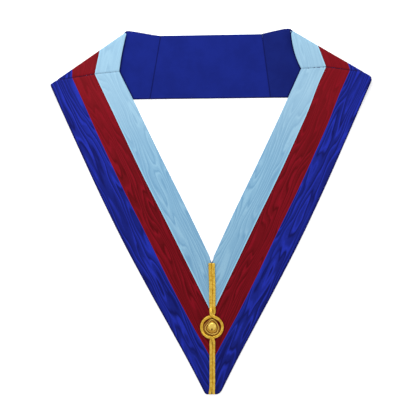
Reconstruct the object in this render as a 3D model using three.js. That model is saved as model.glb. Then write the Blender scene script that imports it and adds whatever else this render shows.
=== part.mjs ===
import * as THREE from 'three';
import { mergeVertices } from 'three/addons/utils/BufferGeometryUtils.js';

// A V-fronted collar of three-colour watered ribbon, laid flat with its face up.
// Each side runs from the point at the front up to a mitre at the shoulder, turns inwards there,
// and folds under along a slanted crease. The back of the neck lies underneath, lining up.
// Millimetres, +Z up, +Y from the point to the neck. The layout starts at the inner corner of the V,
// and the finished group is moved so that its box stands on the origin.

// Ribbon, lining and the space between layers of cloth
const RIBBON_WIDTH = 101.6;
const RIBBON_WALL = 1.2;
const LINING_WALL = 1.0;
const LINING_INSET = 1.2;
const PIECE_GAP = 0.3;
const REST_GAP = 0.4;

// Front, shoulder and back
const LEG_LENGTH = 305;
const TIP_CUT = 18;
const TIP_ROUND = 10;
const FOLD_REACH = 41.3;
const FOLD_RADIUS = 2.6;
const FLAP_LENGTH = 41.5;
const BACK_WIDTH = 93.2;
const HEM_RUN = 25;
const SETTLE_LENGTH = 45;
const DRAPE_LENGTH = 80;

// Gold braid of two strands, and the button inside its ring
const STRAND_WIDTH = 4.45;
const STRAND_HEIGHT = 2.6;
const BRAID_TOP = 3.2;
const BRAID_SHIFT = 0.9;
const RING_DROP = 95.7;
const RING_SHIFT = -0.6;
const RING_CLEARANCE = 1.8;
const CROSSING_RUN = 8;
const BUTTON_RADIUS = 11.5;
const BUTTON_HEIGHT = 6.2;
const BUTTON_LOBE = 0.1;
const BUTTON_TURN = -12;

// The two sides of the worn, hand-laid collar differ a little. Angles are in degrees.
// lean: the front from upright. turns: the shoulder's inner edge and the outer edge of each stripe
// from upright, towards the neck.
// fold and flap: the crease and the folded-under edge from level. seam: the back seam from upright.
// The shares are of LEG_LENGTH, FOLD_REACH, FOLD_RADIUS, FLAP_LENGTH and TIP_ROUND. The mitre's rise
// at the edge of each stripe, how far each edge is pinched inwards there and the bow of the
// shoulder's inner edge are shares of RIBBON_WIDTH.
const SIDES = {
  left: {
    sign: -1, lean: 25.8, turns: [10.9, 12, 1, 10.9], fold: 34.73, flap: 7.2, seam: 9.7,
    legShare: 0.997, reachShare: 1.005, radiusShare: 0.31, runShare: 1.18, roundShare: 0.45,
    mitreShares: [0, 0.118, 0.209, 0.311], pinchShares: [-0.012, -0.006, 0.002, 0], bowShare: -0.01,
  },
  right: {
    sign: 1, lean: 24.96, turns: [16.4, 21.2, 18, 18], fold: 30.1, flap: 9.4, seam: 7.6,
    legShare: 1.003, reachShare: 0.993, radiusShare: 1, runShare: 0.967, roundShare: 1,
    mitreShares: [0, 0.167, 0.268, 0.377], pinchShares: [0, 0.026, 0.018, 0], bowShare: 0.028,
  },
};

// Edges of the stripes across the ribbon, as shares of RIBBON_WIDTH from the inner edge,
// at stations along the front, as shares of LEG_LENGTH from the corner of the V.
const LEG_SHAPE = [
  { along: -0.8, inner: 0, sky: 0.318, crimson: 0.605, royal: 0.895 },
  { along: -0.4, inner: 0, sky: 0.322, crimson: 0.616, royal: 0.92 },
  { along: -0.2, inner: 0, sky: 0.327, crimson: 0.652, royal: 0.95 },
  { along: 0, inner: 0, sky: 0.333, crimson: 0.672, royal: 0.984 },
  { along: 0.25, inner: -0.003, sky: 0.341, crimson: 0.676, royal: 1.016 },
  { along: 0.5, inner: 0.006, sky: 0.354, crimson: 0.688, royal: 1.021 },
  { along: 0.75, inner: 0.008, sky: 0.348, crimson: 0.679, royal: 1.008 },
  { along: 1, inner: 0, sky: 0.336, crimson: 0.658, royal: 0.985 },
  { along: 1.3, inner: 0, sky: 0.328, crimson: 0.643, royal: 0.95 },
];

// Between which shares of LEG_LENGTH the pinch at the mitre grows
const PINCH_RUN = [0.8, 1];

// Where each stripe ends across the narrower back, as shares of BACK_WIDTH
const BACK_SHARES = [0, 0.34, 0.67, 1];

// Rings of the button's face: radius as a share of BUTTON_RADIUS, height of BUTTON_HEIGHT,
// and how far the ring follows the three-cornered outline, as a share of BUTTON_LOBE
const BUTTON_RINGS = [
  { radius: 0.94, height: 0, lobe: 0.6 },
  { radius: 1, height: 0.12, lobe: 0.6 },
  { radius: 0.97, height: 0.3, lobe: 0.6 },
  { radius: 0.8, height: 0.4, lobe: 0.8 },
  { radius: 0.72, height: 0.66, lobe: 1 },
  { radius: 0.58, height: 0.72, lobe: 1 },
  { radius: 0.46, height: 0.66, lobe: 0.6 },
  { radius: 0.36, height: 0.86, lobe: 0 },
  { radius: 0.18, height: 0.97, lobe: 0 },
];

// The braid's crossings: where a strand leaves the straight, is near the other and is over it at
// the top and the foot of the ring, and between which places its lift fades outside the ring, all
// as shares of CROSSING_RUN, and between which it fades inside, as shares of the ring's radius
const CROSSING = {
  leave: 1.6, near: 0.8, overTop: 0.22, overFoot: 0.1, fade: [0.8, 1.7], inside: [0.15, 0.6],
};

const STRIPES = ['sky', 'crimson', 'royal'];
const OUTER_EDGE = STRIPES.length;
const RAIL_STEP = 6;
const ROW_STEP = 18;
const ROW_MINIMUM = 0.05;
const BEND_STEPS = 8;
const STRIPE_COLUMNS = 2;
const LINING_COLUMNS = 6;
const ROUND_STEPS = 4;
const CORNER_TURN = 0.1;
const ROUND_LIMIT = 0.9;
const SEARCH_PASSES = 40;
const STRAND_SIDES = 10;
const STRAND_STEPS = 72;
const RING_LEAD = 28;
const RING_STEPS = 8;
const HALF_TURN = 180;
const BUTTON_SIDES = 24;

const CLOTH_WALL = LINING_WALL + PIECE_GAP + RIBBON_WALL;
const RIBBON_SPAN = [LINING_WALL + PIECE_GAP, CLOTH_WALL];
const LINING_SPAN = [0, LINING_WALL];

const FINISHES = {
  sky: { color: 0x9cc9e4, roughness: 0.5, metalness: 0 },
  crimson: { color: 0x821523, roughness: 0.5, metalness: 0 },
  royal: { color: 0x202a96, roughness: 0.45, metalness: 0 },
  lining: { color: 0x1c2482, roughness: 0.7, metalness: 0 },
  braid: { color: 0xd4af37, roughness: 0.45, metalness: 0.7 },
  button: { color: 0xc89b3c, roughness: 0.3, metalness: 0.9 },
};

const legTable = new THREE.CubicInterpolant(
  LEG_SHAPE.map((row) => row.along),
  LEG_SHAPE.flatMap((row) => [row.inner, row.sky, row.crimson, row.royal]),
  4,
);

function radians(degrees) {
  return THREE.MathUtils.degToRad(degrees);
}

function vector(x, y) {
  return new THREE.Vector2(x, y);
}

function moved(point, direction, distance) {
  return point.clone().addScaledVector(direction, distance);
}

// The named directions, corners and crease of one side, worked out from its row of the table
function layOut(row) {
  const { sign } = row;
  const lean = radians(row.lean);
  const fold = radians(row.fold);
  const flap = radians(row.flap);
  const seam = radians(row.seam);
  const side = {
    row,
    sign,
    length: LEG_LENGTH * row.legShare,
    up: vector(sign * Math.sin(lean), Math.cos(lean)),
    out: vector(sign * Math.cos(lean), -Math.sin(lean)),
    headings: row.turns.map((turn) => vector(-sign * Math.sin(radians(turn)), Math.cos(radians(turn)))),
    crease: vector(-sign * Math.cos(fold), Math.sin(fold)),
    beyond: vector(sign * Math.sin(fold), Math.cos(fold)),
    radius: FOLD_RADIUS * row.radiusShare,
  };
  side.bendRadius = side.radius + CLOTH_WALL / 2;
  side.bendLength = Math.PI * side.bendRadius;
  const turning = railPoint(side, 0, mitreAt(side, 0));
  const reach = FOLD_REACH * row.reachShare;
  const outline = moved(turning, side.beyond, reach);
  side.origin = moved(outline, side.beyond, -(side.radius + CLOTH_WALL));
  const heading = side.headings[0];
  const corner = moved(turning, heading, reach / heading.dot(side.beyond));
  side.edgeMiddle = turning.clone().lerp(corner, 0.5);
  side.edgeMiddle.x -= sign * row.bowShare * RIBBON_WIDTH;
  const flapRun = FLAP_LENGTH * row.runShare;
  const seamTop = moved(corner, vector(-sign * Math.cos(flap), -Math.sin(flap)), flapRun);
  const down = vector(sign * Math.sin(seam), -Math.cos(seam));
  side.seamDown = down;
  side.seam = BACK_SHARES.map((share) => moved(seamTop, down, share * BACK_WIDTH));
  return side;
}

function mitreAt(side, rail) {
  return side.length + side.row.mitreShares[rail] * RIBBON_WIDTH;
}

// A point on the edge between two stripes of the front, at a distance along it from the V's corner
function railPoint(side, rail, along, inset = 0) {
  const share = along / LEG_LENGTH;
  const pinch = side.row.pinchShares[rail] * THREE.MathUtils.smoothstep(share, ...PINCH_RUN);
  const across = (legTable.evaluate(share)[rail] - pinch) * RIBBON_WIDTH + inset;
  return vector(0, 0).addScaledVector(side.up, along).addScaledVector(side.out, across);
}

// The distance along an edge at which a measure of its point passes zero
function railCrossing(side, rail, inset, measure) {
  let low = LEG_SHAPE[0].along * LEG_LENGTH;
  let high = side.length;
  for (let pass = 0; pass < SEARCH_PASSES; pass += 1) {
    const middle = (low + high) / 2;
    if (measure(railPoint(side, rail, middle, inset)) < 0) {
      low = middle;
    } else {
      high = middle;
    }
  }
  return (low + high) / 2;
}

function railRun(side, rail, from, to, inset) {
  const count = Math.max(1, Math.round(Math.abs(to - from) / RAIL_STEP));
  const points = [];
  for (let index = 0; index <= count; index += 1) {
    points.push(railPoint(side, rail, from + ((to - from) * index) / count, inset));
  }
  return points;
}

function outwards(side) {
  return (point) => point.x * side.sign;
}

// The height of the blunt tip, above the point where the uncut outer edges would meet
function pointHeight(sides) {
  const heights = Object.values(sides).map((side) => {
    const along = railCrossing(side, OUTER_EDGE, 0, outwards(side));
    return railPoint(side, OUTER_EDGE, along).y;
  });
  return Math.max(...heights) + TIP_CUT;
}

// A curve that takes the place of the corner between two straight edges
function roundedCorner(before, corner, after, radius) {
  const back = before.clone().sub(corner).normalize();
  const ahead = after.clone().sub(corner).normalize();
  const half = Math.acos(THREE.MathUtils.clamp(back.dot(ahead), -1, 1)) / 2;
  const room = Math.min(before.distanceTo(corner), after.distanceTo(corner));
  const trim = Math.min(radius / Math.tan(half), room * ROUND_LIMIT);
  const start = moved(corner, back, trim);
  const end = moved(corner, ahead, trim);
  const curve = new THREE.QuadraticBezierCurve(start, corner, end);
  return curve.getPoints(ROUND_STEPS);
}

// The flat outline of a stripe, or of the whole width, of one front
function frontOutline(side, inner, outer, insets, tipHeight) {
  const cutInner = railCrossing(side, inner, insets[0], outwards(side));
  const down = railRun(side, inner, mitreAt(side, inner), cutInner, insets[0]);
  const height = tipHeight - insets[1];
  const reachesTip = outer === OUTER_EDGE;
  const measure = reachesTip ? (point) => point.y - height : outwards(side);
  const cutOuter = railCrossing(side, outer, insets[1], measure);
  const up = railRun(side, outer, cutOuter, mitreAt(side, outer), insets[1]);
  if (!reachesTip) {
    return [...down, ...up];
  }
  const centre = vector(0, height);
  const round = roundedCorner(centre, up[0], up[2], TIP_ROUND * side.row.roundShare);
  return [...down, centre, ...round, ...up.slice(2)];
}

// Distances beyond and along the crease, for a point on the front or on the part folded under
function creasePlace(side, point, under) {
  const relative = point.clone().sub(side.origin);
  const beyond = relative.dot(side.beyond);
  return vector(under ? side.bendLength - beyond : beyond, relative.dot(side.crease));
}

function shoulderRail(side, rail, inset) {
  const start = railPoint(side, rail, mitreAt(side, rail), inset);
  const end = moved(side.seam[rail], side.seamDown, inset);
  const places = [creasePlace(side, start, false)];
  const distance = -places[0].x;
  if (rail === 0) {
    const middle = moved(side.edgeMiddle, side.out, inset);
    places.push(creasePlace(side, middle, false));
  }
  if (distance > 0) {
    const heading = side.headings[rail];
    const crossing = moved(start, heading, distance / heading.dot(side.beyond));
    places.push(creasePlace(side, crossing, false));
  }
  if (rail === OUTER_EDGE) {
    places.push(creasePlace(side, moved(side.hemTurn, side.seamDown, inset), true));
  }
  places.push(creasePlace(side, end, true));
  return places;
}

function shoulderOutline(side, inner, outer, insets) {
  return [...shoulderRail(side, inner, insets[0]), ...shoulderRail(side, outer, insets[1]).reverse()];
}

// The outline moved inwards by the same distance all round, so that neighbours keep a gap
function shrunk(points, distance) {
  const ring = THREE.ShapeUtils.area(points) < 0 ? [...points].reverse() : [...points];
  const count = ring.length;
  const normals = ring.map((point, index) => {
    const next = ring[(index + 1) % count];
    const edge = next.clone().sub(point).normalize();
    return vector(-edge.y, edge.x);
  });
  return ring.map((point, index) => {
    const before = normals[(index + count - 1) % count];
    const after = normals[index];
    const blend = before.clone().add(after);
    return moved(point, blend, distance / (1 + before.dot(after)));
  });
}

// Both ends of the line across an outline at one distance beyond the crease
function crossLine(ring, distance) {
  let low = Infinity;
  let high = -Infinity;
  ring.forEach((from, index) => {
    const to = ring[(index + 1) % ring.length];
    const inside = (from.x - distance) * (to.x - distance) <= 0 && from.x !== to.x;
    if (inside) {
      const along = THREE.MathUtils.lerp(from.y, to.y, (distance - from.x) / (to.x - from.x));
      low = Math.min(low, along);
      high = Math.max(high, along);
    }
  });
  return [low, high];
}

// Distances beyond the crease at which the cloth gets a row of points
function rowPlaces(side, ring) {
  const lowest = Math.min(...ring.map((point) => point.x));
  const highest = Math.max(...ring.map((point) => point.x));
  const places = [];
  ring.forEach((point, index) => {
    const before = point.clone().sub(ring[(index + ring.length - 1) % ring.length]);
    const after = ring[(index + 1) % ring.length].clone().sub(point);
    const turn = Math.abs(before.cross(after)) / (before.length() * after.length());
    if (turn > CORNER_TURN) {
      places.push(point.x);
    }
  });
  for (let step = 0; step <= BEND_STEPS; step += 1) {
    places.push((side.bendLength * step) / BEND_STEPS);
  }
  for (let distance = -ROW_STEP; distance > lowest; distance -= ROW_STEP) {
    places.push(distance);
  }
  const within = places.filter((place) => place > lowest + ROW_MINIMUM && place < highest - ROW_MINIMUM);
  const sorted = within.sort((first, second) => first - second);
  const spaced = sorted.filter((place, index) => index === 0 || place - sorted[index - 1] > ROW_MINIMUM);
  return [lowest, ...spaced, highest];
}

// Height of the upper layer's underside: it settles on the layer below, then drops to the ground
function frontHeight(side, distance, y) {
  const settled = THREE.MathUtils.smoothstep(-distance, 0, SETTLE_LENGTH);
  const space = THREE.MathUtils.lerp(2 * side.radius, REST_GAP, settled);
  const drop = THREE.MathUtils.smoothstep(y, side.liftLine - DRAPE_LENGTH, side.liftLine);
  return (CLOTH_WALL + space) * drop;
}

// Place in space of a point of the cloth: beyond and along the crease, and up through its thickness
function clothPoint(side, distance, along, rise) {
  const centre = moved(side.origin, side.crease, along);
  if (distance <= 0) {
    const flat = moved(centre, side.beyond, distance);
    return [flat.x, flat.y, frontHeight(side, distance, flat.y) + rise];
  }
  const radius = side.radius + rise;
  const axis = side.radius + CLOTH_WALL;
  if (distance >= side.bendLength) {
    const flat = moved(centre, side.beyond, side.bendLength - distance);
    return [flat.x, flat.y, axis - radius];
  }
  const angle = distance / side.bendRadius;
  const flat = moved(centre, side.beyond, radius * Math.sin(angle));
  return [flat.x, flat.y, axis + radius * Math.cos(angle)];
}

// A closed wall of cloth: rows of points parallel to the crease, on both of its faces
function clothGeometry(side, outline, span, columns) {
  const ring = shrunk(outline, PIECE_GAP / 2);
  const rows = rowPlaces(side, ring);
  const positions = [];
  for (const rise of span) {
    for (const distance of rows) {
      const [low, high] = crossLine(ring, distance);
      for (let column = 0; column <= columns; column += 1) {
        const along = THREE.MathUtils.lerp(low, high, column / columns);
        positions.push(...clothPoint(side, distance, along, rise));
      }
    }
  }
  const wide = columns + 1;
  const layer = rows.length * wide;
  const faces = [];
  const quad = (a, b, c, d) => faces.push(a, b, c, a, c, d);
  for (let row = 0; row < rows.length - 1; row += 1) {
    for (let column = 0; column < columns; column += 1) {
      const first = row * wide + column;
      quad(first, first + 1, first + wide + 1, first + wide);
      quad(layer + first, layer + first + wide, layer + first + wide + 1, layer + first + 1);
    }
    const left = row * wide;
    const right = left + columns;
    quad(left, left + wide, layer + left + wide, layer + left);
    quad(right, layer + right, layer + right + wide, right + wide);
  }
  const last = (rows.length - 1) * wide;
  for (let column = 0; column < columns; column += 1) {
    quad(column, layer + column, layer + column + 1, column + 1);
    quad(last + column, last + column + 1, layer + last + column + 1, layer + last + column);
  }
  const geometry = new THREE.BufferGeometry();
  geometry.setAttribute('position', new THREE.Float32BufferAttribute(positions, 3));
  geometry.setIndex(faces);
  return closedGeometry(geometry);
}

// The same surface with shared corners merged, empty faces dropped and its faces pointing out
function closedGeometry(source) {
  source.deleteAttribute('normal');
  source.deleteAttribute('uv');
  const geometry = mergeVertices(source, 1e-3);
  const index = geometry.index.array;
  const place = geometry.getAttribute('position');
  const corners = [0, 1, 2].map(() => new THREE.Vector3());
  let kept = [];
  let volume = 0;
  for (let face = 0; face < index.length; face += 3) {
    const [a, b, c] = index.slice(face, face + 3);
    if (a !== b && b !== c && c !== a) {
      kept.push(a, b, c);
      [a, b, c].forEach((vertex, corner) => corners[corner].fromBufferAttribute(place, vertex));
      volume += corners[0].dot(corners[1].clone().cross(corners[2]));
    }
  }
  if (volume < 0) {
    kept = kept.reverse();
  }
  geometry.setIndex(kept);
  geometry.computeVertexNormals();
  return geometry;
}

// The back of the neck lies flat on the ground, so its pieces are plain extruded outlines
function backGeometry(sides, inner, outer, insets, span) {
  const corners = [
    moved(sides.left.seam[inner], sides.left.seamDown, insets[0]),
    moved(sides.left.seam[outer], sides.left.seamDown, insets[1]),
    moved(sides.right.seam[outer], sides.right.seamDown, insets[1]),
    moved(sides.right.seam[inner], sides.right.seamDown, insets[0]),
  ];
  const shape = new THREE.Shape(shrunk(corners, PIECE_GAP / 2));
  const depth = span[1] - span[0];
  const geometry = new THREE.ExtrudeGeometry(shape, { depth, bevelEnabled: false });
  geometry.translate(0, 0, CLOTH_WALL - span[1]);
  return closedGeometry(geometry);
}

// How far a strand is lifted over the other at the foot or top of the ring, from 0 to 1.
// past is the distance beyond the ring, negative inside it.
function crossingRise(past, ringRadius) {
  const outside = THREE.MathUtils.smoothstep(past / CROSSING_RUN, ...CROSSING.fade);
  const inside = THREE.MathUtils.smoothstep(-past / ringRadius, ...CROSSING.inside);
  return 1 - Math.max(outside, inside);
}

// One strand of the braid. Both swap sides above and below the button, so that they ring it.
function strandPath(start, tipHeight, ringRadius) {
  const beside = (start * (STRAND_WIDTH + PIECE_GAP)) / 2;
  const base = CLOTH_WALL + PIECE_GAP + STRAND_HEIGHT / 2;
  const lift = STRAND_HEIGHT + PIECE_GAP;
  const ringTop = ringRadius - RING_DROP;
  const ringFoot = -ringRadius - RING_DROP;
  const leave = CROSSING.leave * CROSSING_RUN;
  const near = CROSSING.near * CROSSING_RUN;
  const overTop = CROSSING.overTop * CROSSING_RUN;
  const overFoot = CROSSING.overFoot * CROSSING_RUN;
  const run = [vector(beside, -BRAID_TOP), vector(beside, (ringTop - BRAID_TOP) / 2)];
  run.push(vector(beside, ringTop + leave), vector(beside, ringTop + near), vector(0, ringTop + overTop));
  for (let step = 0; step <= RING_STEPS; step += 1) {
    const turn = radians(THREE.MathUtils.lerp(RING_LEAD, HALF_TURN - RING_LEAD, step / RING_STEPS));
    const across = RING_SHIFT - start * ringRadius * Math.sin(turn);
    run.push(vector(across, ringRadius * Math.cos(turn) - RING_DROP));
  }
  run.push(vector(0, ringFoot - overFoot), vector(beside, ringFoot - near));
  run.push(vector(beside, ringFoot - leave));
  run.push(vector(beside, (ringFoot + tipHeight) / 2), vector(beside, tipHeight + PIECE_GAP));
  const flat = new THREE.CatmullRomCurve3(
    run.map((point) => new THREE.Vector3(BRAID_SHIFT + point.x, point.y, base)),
    false,
    'centripetal',
  );
  const points = flat.getSpacedPoints(STRAND_STEPS);
  points.forEach((point) => {
    const past = start < 0 ? point.y - ringTop : ringFoot - point.y;
    point.z += lift * crossingRise(past, ringRadius);
  });
  return new THREE.CatmullRomCurve3(points);
}

function strandGeometry(start, tipHeight, ringRadius) {
  const section = new THREE.Shape();
  for (let side = 0; side < STRAND_SIDES; side += 1) {
    const turn = (2 * Math.PI * side) / STRAND_SIDES;
    const across = (STRAND_WIDTH / 2) * Math.sin(turn);
    const up = (STRAND_HEIGHT / 2) * Math.cos(turn);
    if (side === 0) {
      section.moveTo(up, across);
    } else {
      section.lineTo(up, across);
    }
  }
  const extrudePath = strandPath(start, tipHeight, ringRadius);
  const geometry = new THREE.ExtrudeGeometry(section, { steps: STRAND_STEPS, extrudePath });
  return closedGeometry(geometry);
}

// A domed button whose rings are pulled out towards three rounded corners
function buttonGeometry() {
  const profile = [vector(0, 0)];
  BUTTON_RINGS.forEach((ring) => {
    profile.push(vector(ring.radius * BUTTON_RADIUS, ring.height * BUTTON_HEIGHT));
  });
  profile.push(vector(0, BUTTON_HEIGHT));
  const geometry = new THREE.LatheGeometry(profile, BUTTON_SIDES);
  const place = geometry.getAttribute('position');
  for (let vertex = 0; vertex < place.count; vertex += 1) {
    const ring = BUTTON_RINGS[(vertex % profile.length) - 1];
    const turn = Math.atan2(place.getZ(vertex), place.getX(vertex));
    const wave = Math.cos(3 * (turn + radians(90 + BUTTON_TURN)));
    const stretch = ring ? 1 + BUTTON_LOBE * ring.lobe * wave : 1;
    place.setX(vertex, place.getX(vertex) * stretch);
    place.setZ(vertex, place.getZ(vertex) * stretch);
  }
  geometry.rotateX(Math.PI / 2);
  return closedGeometry(geometry);
}

function addPiece(group, name, geometry, finish) {
  const material = new THREE.MeshStandardMaterial(FINISHES[finish]);
  const mesh = new THREE.Mesh(geometry, material);
  mesh.name = name;
  group.add(mesh);
  return mesh;
}

// Three stripes and a lining, each from its own edges across the ribbon
function addCloth(group, panel, build) {
  STRIPES.forEach((stripe, index) => {
    const geometry = build(index, index + 1, [0, 0], RIBBON_SPAN, STRIPE_COLUMNS);
    addPiece(group, `${panel}_${stripe}`, geometry, stripe);
  });
  const insets = [LINING_INSET, -LINING_INSET];
  const lining = build(0, OUTER_EDGE, insets, LINING_SPAN, LINING_COLUMNS);
  addPiece(group, `${panel}_lining`, lining, 'lining');
}

function buildCollar() {
  const collar = new THREE.Group();
  const sides = { left: layOut(SIDES.left), right: layOut(SIDES.right) };
  const hemAcross = sides.right.seam[OUTER_EDGE].clone().sub(sides.left.seam[OUTER_EDGE]).normalize();
  const tipHeight = pointHeight(sides);
  Object.entries(sides).forEach(([name, side]) => {
    side.hemTurn = moved(side.seam[OUTER_EDGE], hemAcross, side.sign * HEM_RUN);
    side.liftLine = side.seam[OUTER_EDGE].y;
    addCloth(collar, `front_${name}`, (inner, outer, insets, span, columns) => {
      const outline = frontOutline(side, inner, outer, insets, tipHeight);
      const places = outline.map((point) => creasePlace(side, point, false));
      return clothGeometry(side, places, span, columns);
    });
    addCloth(collar, `shoulder_${name}`, (inner, outer, insets, span, columns) => {
      const places = shoulderOutline(side, inner, outer, insets);
      return clothGeometry(side, places, span, columns);
    });
  });
  addCloth(collar, 'back', (inner, outer, insets, span) => backGeometry(sides, inner, outer, insets, span));

  const ringRadius = BUTTON_RADIUS + RING_CLEARANCE + STRAND_WIDTH / 2;
  addPiece(collar, 'braid_left', strandGeometry(-1, tipHeight, ringRadius), 'braid');
  addPiece(collar, 'braid_right', strandGeometry(1, tipHeight, ringRadius), 'braid');
  const button = addPiece(collar, 'button', buttonGeometry(), 'button');
  button.position.set(BRAID_SHIFT + RING_SHIFT, -RING_DROP, CLOTH_WALL + PIECE_GAP);

  const box = new THREE.Box3().setFromObject(collar);
  const centre = box.getCenter(new THREE.Vector3());
  collar.position.set(-centre.x, -centre.y, -box.min.z);
  return collar;
}

export default buildCollar();
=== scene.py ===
import logging
import math
from collections.abc import Callable, Iterable, Sequence
from dataclasses import dataclass
from enum import Enum

import bmesh
import bpy
import numpy as np
from mathutils import Matrix, Vector, noise


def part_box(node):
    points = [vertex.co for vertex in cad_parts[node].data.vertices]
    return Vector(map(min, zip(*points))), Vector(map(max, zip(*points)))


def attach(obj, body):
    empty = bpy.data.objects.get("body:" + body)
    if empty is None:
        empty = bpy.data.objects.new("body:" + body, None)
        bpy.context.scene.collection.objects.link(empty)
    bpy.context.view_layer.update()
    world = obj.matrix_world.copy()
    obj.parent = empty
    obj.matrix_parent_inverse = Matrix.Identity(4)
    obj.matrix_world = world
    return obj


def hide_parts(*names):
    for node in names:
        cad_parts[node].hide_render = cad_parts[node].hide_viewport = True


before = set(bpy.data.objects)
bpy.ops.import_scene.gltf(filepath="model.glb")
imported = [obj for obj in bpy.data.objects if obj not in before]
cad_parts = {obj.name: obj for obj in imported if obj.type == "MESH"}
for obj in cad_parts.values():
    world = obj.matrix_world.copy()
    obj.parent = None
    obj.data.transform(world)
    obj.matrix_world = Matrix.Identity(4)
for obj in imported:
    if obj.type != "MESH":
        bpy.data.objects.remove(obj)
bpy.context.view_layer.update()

# A V-fronted collar of three-colour watered ribbon, laid flat with its face up.
# Everything is in metres. The layout starts at the inner corner of the V, with +Y towards the neck,
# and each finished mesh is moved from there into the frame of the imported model.

LOG = logging.getLogger("collar")
BODY = "root"
MM = 0.001
TINY = 1e-6
EDGE_ROUND = 1.5
NECK_INSET = 0.35 * MM
NECK_KNEE = 0.6
RIBBON_KNEE = 0.9
NECK_TUCK = 3.1 * MM
NECK_TUCK_RUN = 15 * MM
NECK_TUCK_START = 0.3
NECK_TUCK_FADE = 30 * MM
GROOVE_WIDTH = 1.5 * MM
FINE_STEPS = tuple(step * MM for step in (0.12, 0.3, 0.6, 1.0, 1.7))
FINE_SHARE = 0.45
LEAST_STEP = 0.1 * MM
BISECTIONS = 40
WAVE_LENGTH = 62 * MM
WAVE_HEIGHT = 0.45 * MM
WAVE_PLACE = 3.7


class Layer(Enum):
    """The layers of cloth in a panel. Each value is the layer's word in the names of its nodes and pieces."""

    SKY = "sky"
    CRIMSON = "crimson"
    ROYAL = "royal"
    LINING = "lining"


class Hold(Enum):
    """How a panel of cloth is held."""

    LAID = "laid"
    FOLDED = "folded"


STRIPES = (Layer.SKY, Layer.CRIMSON, Layer.ROYAL)
OUTER_EDGE = len(STRIPES)


@dataclass(frozen=True)
class CollarSizes:
    """Driving sizes of the cloth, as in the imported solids."""

    ribbon_width: float = 101.6 * MM
    lining_wall: float = 1.0 * MM
    cloth_wall: float = 2.5 * MM
    lining_inset: float = 1.2 * MM
    rest_gap: float = 0.4 * MM
    leg_length: float = 305 * MM
    tip_cut: float = 18 * MM
    tip_round: float = 10 * MM
    fold_reach: float = 41.3 * MM
    fold_radius: float = 2.6 * MM
    flap_length: float = 41.5 * MM
    back_width: float = 93.2 * MM
    back_shares: tuple[float, ...] = (0, 0.34, 0.67, 1)
    hem_run: float = 25 * MM
    settle_length: float = 45 * MM
    drape_length: float = 80 * MM
    piece_gap: float = 0.3 * MM
    pinch_run: tuple[float, float] = (0.8, 1)


@dataclass(frozen=True)
class SideShape:
    """How one side of the laid collar lies. Angles are in degrees, shares are of CollarSizes."""

    sign: int
    lean: float
    turns: tuple[float, ...]
    fold: float
    flap: float
    seam: float
    leg_share: float
    reach_share: float
    radius_share: float
    run_share: float
    round_share: float
    mitre_shares: tuple[float, ...]
    pinch_shares: tuple[float, ...]
    bow_share: float
    corner_round: float
    neck_round: float
    neck_knee: float


@dataclass(frozen=True)
class RibbonStation:
    """Edges of the stripes at one place along a front, as shares of the ribbon's width."""

    along: float
    inner: float
    sky: float
    crimson: float
    royal: float


LEFT = SideShape(
    sign=-1, lean=25.8, turns=(10.9, 12, 1, 10.9), fold=34.73, flap=7.2, seam=9.7,
    leg_share=0.997, reach_share=1.005, radius_share=0.31, run_share=1.18, round_share=0.45,
    mitre_shares=(0, 0.118, 0.209, 0.311), pinch_shares=(-0.012, -0.006, 0.002, 0), bow_share=-0.01,
    corner_round=1.5 * MM, neck_round=2.5 * MM, neck_knee=2.5 * MM,
)
RIGHT = SideShape(
    sign=1, lean=24.96, turns=(16.4, 21.2, 18, 18), fold=30.1, flap=9.4, seam=7.6,
    leg_share=1.003, reach_share=0.993, radius_share=1, run_share=0.967, round_share=1,
    mitre_shares=(0, 0.167, 0.268, 0.377), pinch_shares=(0, 0.026, 0.018, 0), bow_share=0.028,
    corner_round=7.5 * MM, neck_round=5 * MM, neck_knee=5.1 * MM,
)
STATIONS = (
    RibbonStation(along=-0.8, inner=0, sky=0.318, crimson=0.605, royal=0.895),
    RibbonStation(along=-0.4, inner=0, sky=0.322, crimson=0.616, royal=0.92),
    RibbonStation(along=-0.2, inner=0, sky=0.327, crimson=0.652, royal=0.95),
    RibbonStation(along=0, inner=0, sky=0.333, crimson=0.672, royal=0.984),
    RibbonStation(along=0.25, inner=-0.003, sky=0.341, crimson=0.676, royal=1.016),
    RibbonStation(along=0.5, inner=0.006, sky=0.354, crimson=0.688, royal=1.021),
    RibbonStation(along=0.75, inner=0.008, sky=0.348, crimson=0.679, royal=1.008),
    RibbonStation(along=1, inner=0, sky=0.336, crimson=0.658, royal=0.985),
    RibbonStation(along=1.3, inner=0, sky=0.328, crimson=0.643, royal=0.95),
)


def smooth(value: float, low: float, high: float) -> float:
    """Ease from 0 at low to 1 at high."""
    share = min(max((value - low) / (high - low), 0.0), 1.0)
    return share * share * (3 - 2 * share)


def blend(first: float, second: float, share: float) -> float:
    """Mix two numbers."""
    return first + (second - first) * share


def eased(first: float, second: float, leave: float, arrive: float, t: float) -> float:
    """A number on the smooth curve from one value to another, by the slopes at both."""
    return blend(first, second, t * t * (3 - 2 * t)) + t * (1 - t) * ((1 - t) * leave - t * arrive)


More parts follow.
